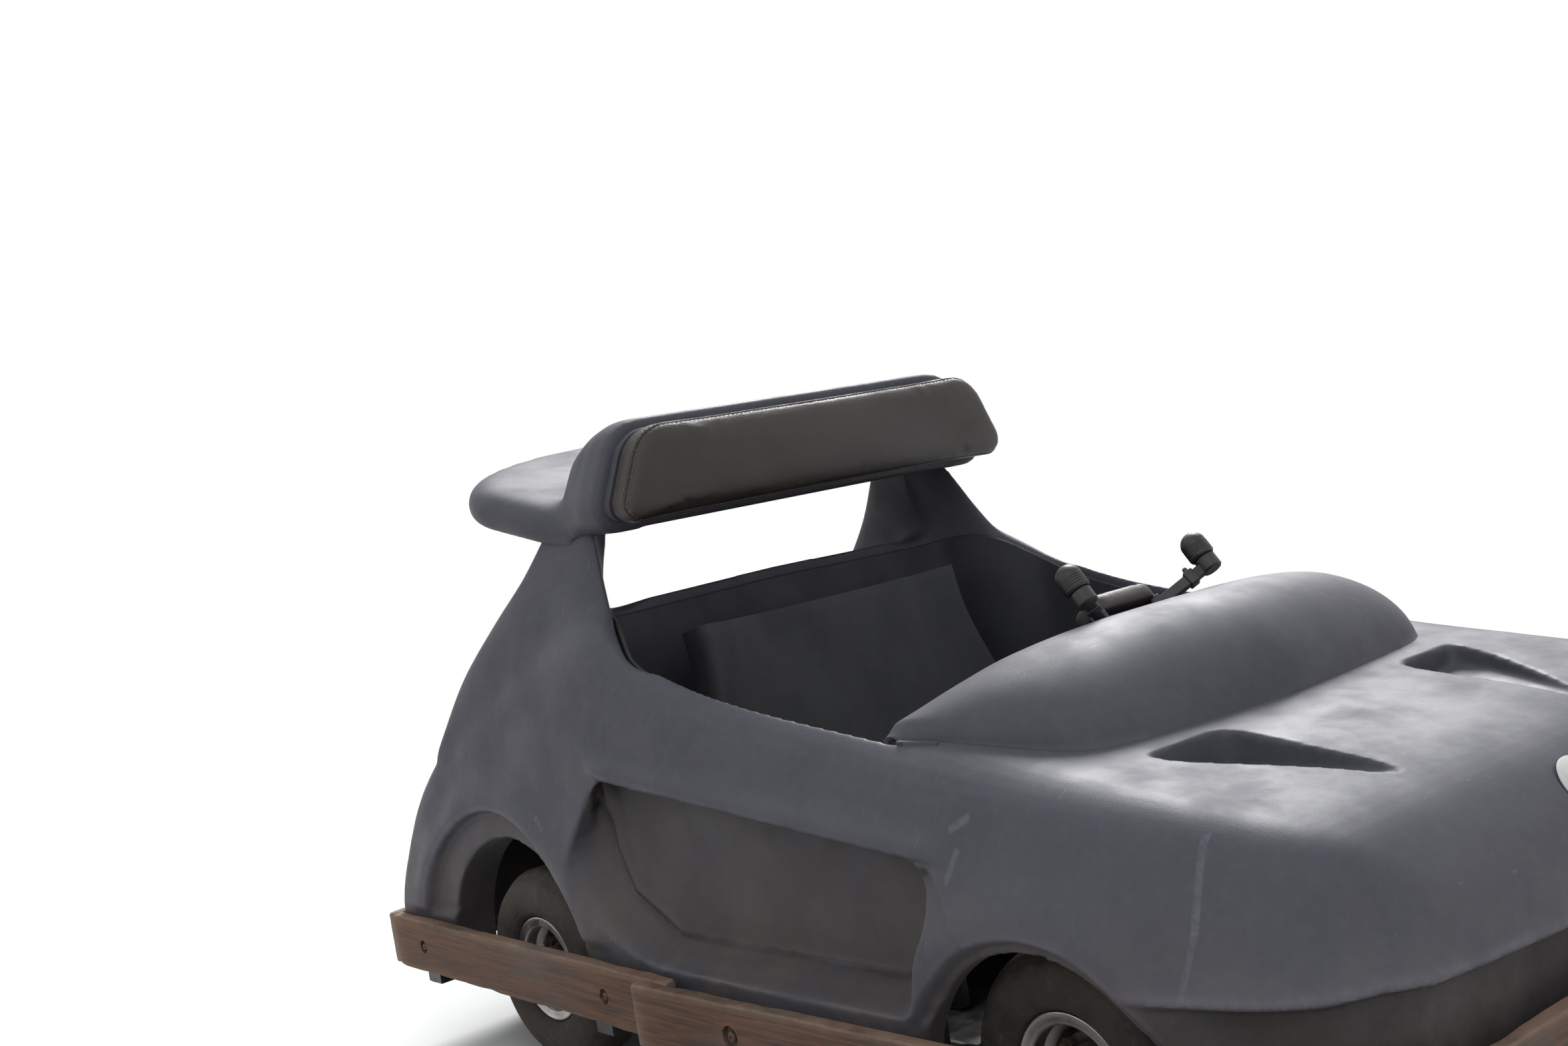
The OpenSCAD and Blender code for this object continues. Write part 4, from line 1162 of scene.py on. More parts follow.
class RIDECAR_OT_spoiler(bpy.types.Operator):
    """Spoiler wing with its raised hump, one smooth moulding with a faint parting line"""

    bl_idname = "ridecar.spoiler"
    bl_label = "Spoiler"

    def execute(self, context):
        rings = []
        for k in range(15):
            a = math.pi * (k / 14 - 0.5)
            h = math.sin(a) * WING_T / 2
            inset = 24 * (1 - abs(math.cos(a)) ** 0.9)
            rings.append([((x - WING_FRONT) * MM, y * MM, h * MM) for x, y in wing_plan(inset)])
        wing = place(loft("spoiler_moulding", rings), wing_matrix())
        foot = [(ahead(66), y * MM * 0.78, 0.772 + (z - PAD_Z) * MM * 0.36)
                for y, z in headrest_outline(6)]
        rings = [foot]
        for d, inset, rise in ((93, 3, 0.60), (116, 0, 0.74), (142, -3, 0.87), (175, -5, 0.955),
                               (206, -6, 1.0), (240, -6, 1.0), (246, -4, 1.0)):
            rings.append([(ahead(d), y * MM * (0.80 + 0.20 * rise),
                           (PAD_Z + 8 * (1 - rise)) * MM + (z - PAD_Z) * MM * rise)
                          for y, z in headrest_outline(inset)])
        hump = loft("hump", rings)
        combine(wing, hump)
        neck = loft("neck", [[(ahead(d), y * MM, z * MM) for y, z in headrest_outline(i)]
                             for d, i in ((238, 8), (HUMP_FACE, 9))])
        cut = box_piece("under_cut", (ahead(0), -0.296, 0.5), (ahead(400), 0.296, PAD_Z * MM))
        carve(wing, cut)
        nose = box_piece("nose_cut", (ahead(142), -0.36, 0.5), (ahead(400), 0.36, (PAD_Z - 3) * MM))
        carve(wing, nose)
        remesh(wing, 0.0048)
        relax(wing, 5)

        def foot_zone(co):
            """The fillet where the hump rises from the wing."""
            d, _, z = in_car(co)
            local = z - (PAD_Z - 18 + (WING_FRONT - d) * math.tan(math.radians(WING_SLOPE)))
            return np.clip(bump(local, 30, 26) * ramp(-d, -196, -180), 0, 1)

        relax(wing, 40, foot_zone)
        combine(wing, neck)
        thin(wing, 0.6)
        dress(shade(wing, 50), body_plastic(), "car", ["spoiler"])
        return {"FINISHED"}


def swell(obj, pressure, cap, frames=20, pins=None):
    """Fills a cushion with air as cloth, and limits how far a point may move."""
    start = points_of(obj).copy()
    scene = bpy.context.scene
    modifier = obj.modifiers.new("Cloth", "CLOTH")
    settings = modifier.settings
    settings.use_pressure = True
    settings.uniform_pressure_force = pressure
    settings.effector_weights.gravity = 0
    settings.tension_stiffness = settings.compression_stiffness = 25
    settings.shear_stiffness = 12
    modifier.point_cache.frame_start, modifier.point_cache.frame_end = 1, frames
    for number in range(1, frames + 1):
        scene.frame_set(number)
    bake(obj)
    scene.frame_set(1)
    moved = points_of(obj) - start
    length = np.linalg.norm(moved, axis=1, keepdims=True)
    moved *= np.minimum(1, cap / np.maximum(length, 1e-9))
    if pins is not None:
        moved *= (1 - pins(start))[:, None]
    return set_points(obj, start + moved)


def pad_form(name, inset, crown):
    """Closed cushion: flat back, side band, crowned front face."""
    back, front = PAD_BACK + inset * 0.6, PAD_BACK + PAD_T - 8 - inset
    outline = [headrest_outline(i) for i in (10 + inset, 3 + inset, 1 + inset, 1.5 + inset, 6 + inset)]
    depth = [back, back + 5, back + 18, front - 7, front]
    rings = [[(ahead(d), y * MM, z * MM) for y, z in o] for d, o in zip(depth, outline)]
    centre_z = PAD_Z + PAD_H / 2
    for k in range(1, 9):
        t = k / 9
        rise = crown * math.sin(t * math.pi / 2)
        ring = []
        for y, z in outline[-1]:
            ring.append((ahead(front + rise), y * (1 - t * 0.96) * MM,
                         (centre_z + (z - centre_z) * (1 - t * 0.96)) * MM))
        rings.append(ring)
    return loft(name, rings)


def seam_path(back, inset):
    """Closed path round the pad, some way behind its front, as points in metres."""
    return [(ahead(PAD_BACK + PAD_T - back), y * MM, z * MM) for y, z in even(headrest_outline(inset), 260)]


def tube_along(name, path, radius, sides=6):
    """A thin cord of mesh that follows a closed path."""
    rings = []
    pts = [Vector(p) for p in path]
    for i, p in enumerate(pts):
        tangent = pts[(i + 1) % len(pts)] - pts[i - 1]
        tangent.normalize()
        side = tangent.cross(Vector((1, 0, 0) if abs(tangent.x) < 0.9 else (0, 0, 1))).normalized()
        up = tangent.cross(side)
        rings.append([p + radius * (math.cos(2 * math.pi * k / sides) * side
                                    + math.sin(2 * math.pi * k / sides) * up) for k in range(sides)])
    rings.append(rings[0])
    return loft(name, rings, caps=False)


def laid_on(obj, path):
    """A path moved to just above the nearest places on a piece's surface."""
    out = []
    for p in path:
        _, place_on, normal, _ = obj.closest_point_on_mesh(Vector(p))
        out.append(tuple(place_on + normal * THREAD_LIFT))
    return out


# How far stitches and piping lie above the cloth, and the length and thickness of one stitch
THREAD_LIFT, STITCH_L, STITCH_R = 0.0002, 0.0046, 0.00042


def stitch_unit():
    """One stitch, thin at its ends and arched, along +Z."""
    rings = []
    for t in np.linspace(-1, 1, 6):
        r = STITCH_R * (1 - 0.55 * t * t)
        rings.append([(r * math.cos(a), r * math.sin(a) + 0.0004 * (1 - t * t), t * STITCH_L / 2)
                      for a in np.linspace(0, 2 * math.pi, 6, endpoint=False)])
    return loft("stitch_unit", rings)


def stitches(name, path, spacing, closed=True):
    """Stitches laid end to end along a path."""
    pts = np.array(list(path) + ([path[0]] if closed else []), float)
    s = np.concatenate([[0], np.cumsum(np.linalg.norm(np.diff(pts, axis=0), axis=1))])
    at = np.arange(spacing / 2, s[-1], spacing)
    where = np.stack([np.interp(at, s, pts[:, k]) for k in range(3)], 1)
    nxt = np.stack([np.interp(np.minimum(at + 1e-3, s[-1]), s, pts[:, k]) for k in range(3)], 1)
    turns = [facing(b - a) for a, b in zip(where, nxt)]
    return repeat(name, stitch_unit(), where, turns, thread())


class RIDECAR_OT_headrest_pad(bpy.types.Operator):
    """Padded headrest in vinyl with a seam and double stitching round its front"""

    bl_idname = "ridecar.headrest_pad"
    bl_label = "Headrest pad"

    def execute(self, context):
        t = trim_settings()
        pad = pad_form("headrest_cushion", 3.0, 7.0)
        remesh(pad, 0.005)
        relax(pad, 3)
        back = ahead(PAD_BACK)
        swell(pad, 4.0, 0.0035, pins=lambda co: ramp(-co[:, 0], -back - 0.012, -back - 0.004))
        co = points_of(pad)
        ring = np.array(headrest_outline(0)) * MM
        gap = gap_to(ring[::2], co[:, 1], co[:, 2])
        edge = ahead(PAD_BACK + PAD_T - SEAM_BACK) - co[:, 0]
        groove = bump(edge, 0, 0.0032) * ramp(-gap, -0.016, -0.008)
        centre = np.array([0, 0, (PAD_Z + PAD_H / 2) * MM])
        inward = centre - co
        inward[:, 0] = 0
        inward /= np.maximum(np.linalg.norm(inward, axis=1, keepdims=True), 1e-9)
        co += inward * groove[:, None] * 0.0028
        co[:, 0] = np.maximum(co[:, 0], back + 0.0002)
        set_points(pad, co)
        modify(pad, "SUBSURF", levels=1, render_levels=1)
        thin(pad, 0.5)
        shade(pad, 60)
        dress(pad, vinyl(), "car", ["headrest_pad"])
        seam = tube_along("headrest_piping", laid_on(pad, seam_path(SEAM_BACK, 2.4)), 0.0012)
        dress(shade(seam, 60), vinyl(), "car")
        for end, off in (("front", -4.5), ("back", 4.5)):
            path = laid_on(pad, seam_path(SEAM_BACK + off, 2.0))
            row = stitches(f"headrest_stitches_{end}", path, t.stitch)
            dress(row, thread(), "car")
        return {"FINISHED"}


# ---------------------------------------------------------------- cockpit

# Distance ahead and height of the seat's surface from its top to its front edge
SEAT = [(236, 596), (262, 480), (298, 356), (345, 266), (420, 230), (560, 233), (690, 262), (714, 246)]
SEAT_HALF = 280
FLOOR_TOP = 128.4


class RIDECAR_OT_cockpit(bpy.types.Operator):
    """Black tub below the cockpit's rim and the moulded bucket seat"""

    bl_idname = "ridecar.cockpit"
    bl_label = "Cockpit tub and seat"

    def execute(self, context):
        plan = even(cockpit_outline(-0.4), 240)
        rings = []
        for i, (x, y) in enumerate(plan):
            way = np.array(plan[(i + 1) % len(plan)]) - np.array(plan[i - 1])
            out = np.array([way[1], -way[0]]) / np.linalg.norm(way)
            top = (deck_z((x - REAR_X) / MM, y / MM) - 15) * MM
            low = FLOOR_TOP * MM
            middle = (low + top) / 2
            section = [(0, low), (0, low + 0.02), (0, middle), (0, top - 0.004), (-0.0012, top - 0.001),
                       (-0.003, top), (-0.0048, top - 0.001), (-0.006, top - 0.004), (-0.006, middle),
                       (-0.006, low + 0.02), (-0.006, low)]
            rings.append([(x + out[0] * o, y + out[1] * o, z) for o, z in section])
        rings.append(rings[0])
        tub = loft("cockpit_tub_moulding", rings, caps=False)
        for name, rear, front, half, top in (("mouth", 700, 1000, 0.26, 0.8),
                                             ("wheel_room", 804, 1100, 0.5, 0.3)):
            carve(tub, box_piece(name, (ahead(rear), -half, 0), (ahead(front), half, top)))
        dress(shade(tub, 35), dark_plastic(), "car", ["cockpit_tub"])
        dress(self.bucket(), dark_plastic(), "car", ["seat"])
        return {"FINISHED"}

    def bucket(self):
        rows = smooth_rows([[i, *p] for i, p in enumerate(SEAT)], 7)
        line = np.array([r[1:] for r in rows])
        way = np.gradient(line, axis=0)
        way /= np.linalg.norm(way, axis=1, keepdims=True)
        rings = []
        for (d, z), (wx, wz) in zip(line, way):
            normal = np.array([-wz, wx])
            half = SEAT_HALF - 44 * float(ramp(z, 330, 560))
            section = []
            for v in np.linspace(-1, 1, 37):
                lift = 34 * abs(v) ** 4 + 5 * math.exp(-(((abs(v) - 0.62) / 0.05) ** 2))
                section.append((half * v, lift))
            edge = [(half + 5, 28), (half + 7, 16), (half + 7, -14)]
            section = [(-a, b) for a, b in edge[::-1]] + section + edge
            rings.append([(ahead(d + normal[0] * o), y * MM, (z + normal[1] * o) * MM) for y, o in section])
        bucket = loft("bucket_seat", rings, caps=False, closed=False)
        modify(bucket, "SOLIDIFY", thickness=0.008, offset=0)
        bevel(bucket, 0.002, 55)
        legs = []
        outline = rounded([(330, 129), (706, 129), (700, 250), (560, 222), (420, 220), (345, 256)], 14, 4)
        for side in SIDES.values():
            rings = [[(ahead(d), side * w * MM, z * MM) for d, z in outline] for w in (262, 274)]
            legs.append(bevel(loft("seat_leg", rings), 0.0015, 60))
        return shade(fix_normals(join("bucket_seat", [bucket, *legs])), 40)


# ---------------------------------------------------------------- planks

# Height, thickness and lower edge of the planks
PLANK_H, PLANK_T, PLANK_Z = 80, 20, 125
# The outer face of each plank from one end to the other, then its bolts as fractions of the length
PLANKS = {
    "bumper_front": ((1435, 395), (1435, -395), (0.2, 0.35, 0.65, 0.8)),
    "bumper_rear": ((-365, -470), (-365, 470), (0.24, 0.5, 0.76)),
    "bumper_corner": ((1344, 528), (1431, 408), (0.5,)),
    "bumper_side_front": ((385, 532), (1327, 532), (0.209, 0.43, 0.70, 0.952)),
    "bumper_side_rear": ((-345, 475), (430, 511), (0.127, 0.804)),
}


def plank_place(start, end, side):
    """Length, then the turn from a plank's own axes (along, inwards, up) to the frame."""
    a, b = np.array(start, float), np.array(end, float)
    length = float(np.linalg.norm(b - a))
    u = (b - a) / length
    inward = (u[1], -u[0])
    turn = Matrix(((u[0], inward[0], 0, ahead(a[0])),
                   (side * u[1], side * inward[1], 0, side * a[1] * MM),
                   (0, 0, 1, PLANK_Z * MM), (0, 0, 0, 1)))
    return length * MM, turn


# How deep the bolts' holes are, in metres
BOLT_SINK = 0.0070


def plank_mesh(name, length, bolts, seed, hole_r):
    """A weathered plank with soft worn corners and sunk bolt holes, in its own axes."""
    t, h, r = PLANK_T * MM, PLANK_H * MM, 0.0032
    section = []
    for cy, cz, start in ((t - r, h - r, 0), (r, h - r, 90), (r, r, 180), (t - r, r, 270)):
        section += [(cy + r * math.cos(math.radians(start + a)), cz + r * math.sin(math.radians(start + a)))
                    for a in (0, 30, 60, 90)]
    dense = []
    for i, p in enumerate(section):
        q = section[(i + 1) % len(section)]
        steps = max(1, int(math.dist(p, q) / 0.007))
        dense += [(p[0] + (q[0] - p[0]) * k / steps, p[1] + (q[1] - p[1]) * k / steps) for k in range(steps)]
    stations = [(0.0, 0.0034), (0.0010, 0.0014), (0.0032, 0.0)]
    between = np.linspace(0.009, length - 0.009, max(8, int(length / 0.008)))
    stations += [(x, 0.0) for x in between] + [(length - x, inset) for x, inset in stations[::-1]]
    plank = loft(name, [[(x, inset + y * (1 - 2 * inset / t), inset + z * (1 - 2 * inset / h))
                         for y, z in dense] for x, inset in stations])
    for part in bolts:
        hole = rod("bolt_hole", hole_r, -0.01, BOLT_SINK, 24, (part * length, 0, h * 0.5))
        carve(plank, hole)
    co = points_of(plank)
    for p in co:
        spot = Vector((p[0] * 9 + seed * 7.3, p[1] * 40, p[2] * 40))
        rub = noise.noise(spot) * 0.5 + noise.noise(spot * 3.1) * 0.3
        corner = min(p[1], t - p[1]) < 0.0034 and min(p[2], h - p[2]) < 0.0034
        end = min(p[0], length - p[0])
        deep = max(0.0, rub + 0.1) * (0.0042 if corner else 0.0006)
        split = max(0.0, noise.noise(spot * 2.2) + 0.1) * 0.005 * math.exp(-end / 0.01)
        deep += split * (1 if corner else 0.3)
        p[1] += deep * (1 if p[1] < t / 2 else -1)
        p[2] += deep * 0.8 * (1 if p[2] < h / 2 else -1)
    set_points(plank, co)
    edge = np.minimum(np.minimum(co[:, 1], t - co[:, 1]) + np.minimum(co[:, 2], h - co[:, 2]), 0.02)
    end = np.minimum(co[:, 0], length - co[:, 0])
    worn = np.clip(0.75 * np.exp(-end / 0.012) + 0.8 * np.exp(-edge / 0.0035), 0, 1)
    for key, values in (("along", co[:, 0] + seed * 1.7), ("across", co[:, 2]), ("through", co[:, 1]),
                        ("worn", worn)):
        mark(plank, key, values)
    return plank


class RIDECAR_OT_planks(bpy.types.Operator):
    """Weathered bumper planks with worn ends, sunk bolts and washers"""

    bl_idname = "ridecar.planks"
    bl_label = "Bumper planks"

    def execute(self, context):
        washers, sunk = [], []
        seed = 0
        for kind, (start, end, bolts) in PLANKS.items():
            for name, side in ([("", 1)] if kind in ("bumper_front", "bumper_rear") else SIDES.items()):
                seed += 1
                node = f"{kind}_{name}" if name else kind
                length, turn = plank_place(start, end, side)
                small = kind == "bumper_side_rear"
                hole_r = 0.0105 if small else 0.0142
                plank = place(plank_mesh(node + "_plank", length, bolts, seed, hole_r), turn)
                if turn.determinant() < 0:
                    plank.data.flip_normals()
                dress(shade(plank, 45), planks_wood(), "car", [node])
                out = -(turn.to_3x3() @ Vector((0, 1, 0)))
                for part in bolts:
                    at = turn @ Vector((part * length, BOLT_SINK + 0.0001, PLANK_H * MM * 0.5))
                    (sunk if small else washers).append((at, facing(out)))
        for label, places, unit in (("plank_bolts", sunk, bolt_unit(0.0088, 0.0052)),
                                    ("plank_washers", washers, bolt_unit(0.0128, 0.0068))):
            group = repeat(label, unit, [p for p, _ in places], [t for _, t in places], bolt_metal())
            dress(group, bolt_metal(), "car")
        return {"FINISHED"}


# ---------------------------------------------------------------- wheels

# Height of the axles, and distance of a wheel's middle plane from the car's
AXLE_Z, WHEEL_Y = 142, 380
TYRE_R, TYRE_W = 142, 94
# Radius of the bead seat and of the rim's lip, and half the distance between the beads
BEAD_R, LIP_R, BEAD_HALF = 63.5, 75.5, 35.0


def tyre_profile():
    """Closed section of the tyre: tread, walls with their rings, beads and inside."""
    half = [(BEAD_R + 0.4, BEAD_HALF - 6), (BEAD_R + 0.4, BEAD_HALF - 0.6), (BEAD_R + 1.6, BEAD_HALF),
            (LIP_R - 3, BEAD_HALF), (LIP_R + 1.2, BEAD_HALF + 0.2)]
    middle = (LIP_R + TYRE_R - 10) / 2
    for a in range(-64, 67, 5):
        r = middle + (middle - LIP_R - 1) * math.sin(math.radians(a)) * 1.02
        w = TYRE_W / 2 - 11 + 11 * math.cos(math.radians(a))
        for ring_r, ring_w, high in ((84, 1.5, 0.7), (92, 1.1, 0.45), (118, 1.3, 0.6), (124, 1.0, 0.45)):
            w += high * math.exp(-(((r - ring_r) / ring_w) ** 2))
        half.append((r, min(w, TYRE_W / 2 - 0.1)))
    for t in np.linspace(0.1, 1, 13):
        half.append((TYRE_R - 12 * (1 - t) * (1 - t), (TYRE_W / 2 - 10) * (1 - t * 0.55)))
    for w in (11.5, 7.5, 6.9, 4.6, 4.0, 1.2):
        half.append((TYRE_R - (0.9 if w in (6.9, 4.6) else 0.0), w))
    inside = [(BEAD_R + 6, BEAD_HALF - 6), (BEAD_R + 22, BEAD_HALF + 3), (TYRE_R - 22, BEAD_HALF + 1),
              (TYRE_R - 10, 16)]
    loop = half + [(r, -w) for r, w in half[::-1]]
    return [(r * MM, w * MM) for r, w in loop + [(r, -w) for r, w in inside] + inside[::-1]]


# Half of the rim's section: its face to the tyre, then its face to the axle, as radius and half width
RIM_OUTER = [(74.2, 35.5), (66, 35.5), (64.2, 35.0), (63.4, 33.6), (63.2, 16.5), (61, 13.5), (55.4, 8.5),
             (54.5, 7)]
RIM_INNER = [(75.3, 36.2), (75.6, 37.3), (75.0, 38.4), (73.8, 38.8), (72.6, 38.4), (71.6, 37.9), (67.5, 38.0),
             (62.8, 37.4), (60.8, 35.4), (60.3, 33), (60.2, 17.5), (58, 15), (52.4, 10), (51.6, 8)]
RIM_PROFILE = (RIM_OUTER + [(r, -w) for r, w in RIM_OUTER[::-1] + RIM_INNER] + RIM_INNER[::-1])
DISH_PROFILE = [(27, 0), (31, 0), (33.5, 1.5), (36, 4.5), (40, 5.6), (44, 4.6), (47, 1), (49.5, -3),
                (52.2, -4.6), (52.2, -7.6), (49, -6.6), (46, -3.2), (43, 1.2), (40, 2.4), (37, 1.4),
                (34.5, -2.2), (31, -4), (27, -4)]
# Radius and half width of the hub's outer half, after its bore
HUB_HALF = [(24, 33.6), (27, 32), (28, 29)]
# Radius of the bore through the hub, and how far the axle's nut reaches, at each end of the car
AXLE_ENDS = {"front": (12.6, 44), "rear": (15.1, 48)}


class RIDECAR_OT_wheels(bpy.types.Operator):
    """Pneumatic tyres on split steel rims with studs, nuts and valve stems"""

    bl_idname = "ridecar.wheels"
    bl_label = "Wheels"

    def execute(self, context):
        for end, d in (("front", WHEELBASE), ("rear", 0)):
            for name, side in SIDES.items():
                centre = Vector((ahead(d), side * WHEEL_Y * MM, AXLE_Z * MM))
                self.wheel(end, name, side, centre)
                self.axle_nut(end, name, side, centre)
        return {"FINISHED"}

    def wheel(self, end, name, side, centre):
        body = f"wheel_front_{name}" if end == "front" else "rear_wheels"
        label = f"{end}_{name}"
        tyre = spin(f"tyre_casing_{label}", tyre_profile(), 120, centre)
        dress(shade(tyre, 40), tyre_rubber(), body, [f"tyre_{label}"])
        rim = spin(f"rim_barrel_{label}", [(r * MM, w * MM) for r, w in RIM_PROFILE], 96, centre)
        dress(shade(rim, 35), rim_metal(), body, [f"rim_{label}"])
        dish = spin(f"rim_dish_{label}", [(r * MM, side * w * MM) for r, w in DISH_PROFILE], 96, centre)
        bore = AXLE_ENDS[end][0]
        half = [(bore, HUB_HALF[0][1]), *HUB_HALF]
        hub = spin(f"hub_{label}", [(r * MM, w * MM) for r, w in half + [(r, -w) for r, w in half[::-1]]],
                   48, centre)
        dish = join(f"rim_dish_{label}", [dish, hub])
        dress(shade(dish, 35), dish_metal(), body)
        out = Vector((0, side, 0))
        places = []
        for k in range(4):
            a = math.radians(45 + 90 * k)
            places.append(centre + Vector((0.040 * math.cos(a), side * 0.0052, 0.040 * math.sin(a))))
        nuts = repeat(f"wheel_nuts_{label}", nut_unit(0.0078, 0.007), places, [facing(out)] * 4, bolt_metal())
        dress(nuts, bolt_metal(), body)
        self.valve(label, centre, side, body)

    def axle_nut(self, end, name, side, centre):
        """The washer and the six-sided nut that hold a wheel on its axle."""
        bore, reach = AXLE_ENDS[end]
        hole = (bore + 0.3) * MM
        washer = [(hole, side * 34.2 * MM), (23 * MM, side * 34.2 * MM), (23 * MM, side * 36.2 * MM),
                  (hole, side * 36.2 * MM)]
        cap = spin(f"axle_nut_{end}_{name}", washer, 32, centre)
        nut = loft("axle_nut", [[centre + Vector((f * 0.0195 * math.cos(math.radians(60 * k)), side * w * MM,
                                                  f * 0.0195 * math.sin(math.radians(60 * k))))
                                 for k in range(6)]
                                for w, f in ((36.4, 0.97), (37, 1), (reach - 3.6, 1), (reach - 3, 0.94))])
        carve(nut, rod("nut_bore", hole, side * 0.02, side * 0.07, 32, centre))
        cap = join(f"axle_nut_{end}_{name}", [cap, nut])
        carrier = f"knuckle_{name}_body" if end == "front" else "rear_wheels"
        dress(shade(cap, 30), bolt_metal(), carrier)

    def valve(self, label, centre, side, body):
        a = math.radians(-62)
        start = centre + Vector((0.0545 * math.cos(a), side * 0.012, 0.0545 * math.sin(a)))
        way = Vector((-0.35 * math.cos(a), side * 1.0, -0.35 * math.sin(a))).normalized()
        profile = [(CORE, 0), (0.0042, 0), (0.0042, 0.010), (0.0034, 0.013), (0.0034, 0.020),
                   (0.0030, 0.0205), (0.0036, 0.021), (0.0036, 0.029), (0.0028, 0.030), (CORE, 0.030)]
        stem = spin(f"valve_stem_{label}", profile, 20, (0, 0, 0), "Z")
        place(stem, Matrix.Translation(start) @ way.to_track_quat("Z", "Y").to_matrix().to_4x4())
        dress(shade(stem, 35), metal("brass_valve", (0.42, 0.33, 0.14), 0.4, 0.3), body)


def dish_metal():
    return metal("grimy_dish", (0.16, 0.145, 0.13), 0.55, 0.4)


# ---------------------------------------------------------------- yoke

# Distance ahead and height of the yoke's hub, and the column's slope in degrees
YOKE_X, YOKE_Z, COLUMN_ANGLE = 812, 547, 53
# Place of a grip's foot in the yoke's own axes: up, sideways and off the plane of the hub
GRIP_UP, GRIP_Y, GRIP_LIFT = 64, 118, 12


def yoke_matrix():
    return Matrix.Translation((ahead(YOKE_X), 0, YOKE_Z * MM)) @ Matrix.Rotation(
        math.radians(-(90 - COLUMN_ANGLE)), 4, "Y")


def bar_between(name, a, b, side, round_by=0.0018):
    """A square bar between two points of the yoke's own axes."""
    a, b = Vector(a), Vector(b)
    way = (b - a).normalized()
    up = Vector((0, 0, 1))
    across = way.cross(up).normalized()
    up = across.cross(way)
    rings = [[p + across * sx * side / 2 + up * sy * side / 2
              for sx, sy in ((-1, -1), (1, -1), (1, 1), (-1, 1))] for p in (a, b)]
    return bevel(loft(name, rings), round_by, segments=3)


class RIDECAR_OT_yoke(bpy.types.Operator):
    """Yoke: square rods with clamps, domed grips and a stitched hub pad"""

    bl_idname = "ridecar.yoke"
    bl_label = "Steering yoke"

    def execute(self, context):
        turn = yoke_matrix()
        parts = [spin("hub_plate", [(0.0104, -0.012), (0.0135, -0.012), (0.015, -0.0105), (0.015, -0.001),
                                    (0.0104, -0.001)], 40, (0, 0, 0), "Z"),
                 box_piece("hub_bar", (-0.010, -0.050, -0.001), (0.010, 0.050, 0.013), 0.0015)]
        tops = []
        for s in (-1, 1):
            a, b = (0, s * 0.038, 0.003), (GRIP_UP * MM, s * GRIP_Y * MM, (3 + GRIP_LIFT) * MM)
            parts.append(bar_between("rod", a, b, 0.014))
            way = (Vector(b) - Vector(a)).normalized()
            for at, size in ((0.020, 0.021), (0.074, 0.019)):
                p = Vector(a) + way * at
                parts.append(bar_between("clamp", p - way * 0.007, p + way * 0.007, size, 0.002))
                tops.append(p + Vector((0, 0, size / 2 + 0.0003)))
            parts.append(spin("grip_foot", [(CORE, -0.006), (0.012, -0.006), (0.014, -0.004), (0.014, 0.012),
                                            (0.012, 0.014), (CORE, 0.014)], 36,
                              (GRIP_UP * MM, s * GRIP_Y * MM, GRIP_LIFT * MM), "Z"))
        bar = place(join("yoke_frame", parts), turn)
        dress(shade(bar, 35), black_paint(), "yoke", ["yoke_bar"])
        for name, s in SIDES.items():
            profile = [(CORE, 0.0003), (0.0145, 0.0003), (0.0162, 0.0020)]
            for k in range(5):
                z = 0.0040 + 0.0032 * k
                profile += [(0.0170, z), (0.0170, z + 0.0018), (0.0164, z + 0.0022), (0.0164, z + 0.0028)]
            profile += [(0.017 * math.cos(a), 0.020 + 0.017 * math.sin(a))
                        for a in np.linspace(0.1, 1.55, 12)]
            grip = spin(f"grip_rubber_{name}", profile, 40,
                        (GRIP_UP * MM, s * GRIP_Y * MM, (GRIP_LIFT + 14) * MM), "Z")
            dress(shade(place(grip, turn), 35), black_rubber(), "yoke", [f"grip_{name}"])
        self.cushion(turn)
        bolts = repeat("clamp_bolts", bolt_unit(0.0045, 0.0032), [turn @ p for p in tops],
                       [facing(turn.to_3x3() @ Vector((0, 0, 1)))] * len(tops), bolt_metal())
        dress(bolts, bolt_metal(), "yoke")
        return {"FINISHED"}

    def cushion(self, turn):
        outline = even(rounded([(-33, -54), (25, -54), (25, 54), (-33, 54)], 18, 8), 96)
        rings = []
        for z, k in ((13.4, 0.93), (16, 0.985), (22, 1.0), (32, 0.985), (36.5, 0.90), (39.5, 0.74),
                     (41.5, 0.45), (42, 0.15)):
            rings.append([((-3 + (x + 3) * (1 - (1 - k))) * MM, y * (1 - (1 - k) * 0.45) * MM, z * MM)
                          for x, y in outline])
        pad = loft("yoke_cushion", rings)
        remesh(pad, 0.0032)
        relax(pad, 3)
        swell(pad, 3.0, 0.0015, pins=lambda co: ramp(-co[:, 2], -0.020, -0.015))
        co = points_of(pad)
        co[:, 2] = np.maximum(co[:, 2], 0.0134)
        for at in (-0.030, 0.030):
            co[:, 2] -= 0.0016 * bump(co[:, 1], at, 0.0016) * ramp(co[:, 2], 0.018, 0.024)
        set_points(pad, co)
        modify(pad, "SUBSURF", levels=1, render_levels=1)
        thin(pad, 0.5)
        shape = points_of(pad)
        dress(shade(place(pad, turn), 60), vinyl(), "yoke", ["yoke_pad"])
        paths = []
        for at in (-0.0335, -0.0265, 0.0265, 0.0335):
            band = shape[np.abs(shape[:, 1] - at) < 0.004]
            xs = np.linspace(-0.026, 0.020, 40)
            zs = [band[np.argsort(np.abs(band[:, 0] - x))[:5], 2].max() for x in xs]
            paths.append([turn @ Vector((x, at, z + 0.0002)) for x, z in zip(xs, zs)])
        rows = [stitches(f"yoke_stitches_{i}", [tuple(q) for q in path], 0.0055, closed=False)
                for i, path in enumerate(paths)]
        dress(join("yoke_stitches", rows), thread(), "yoke")


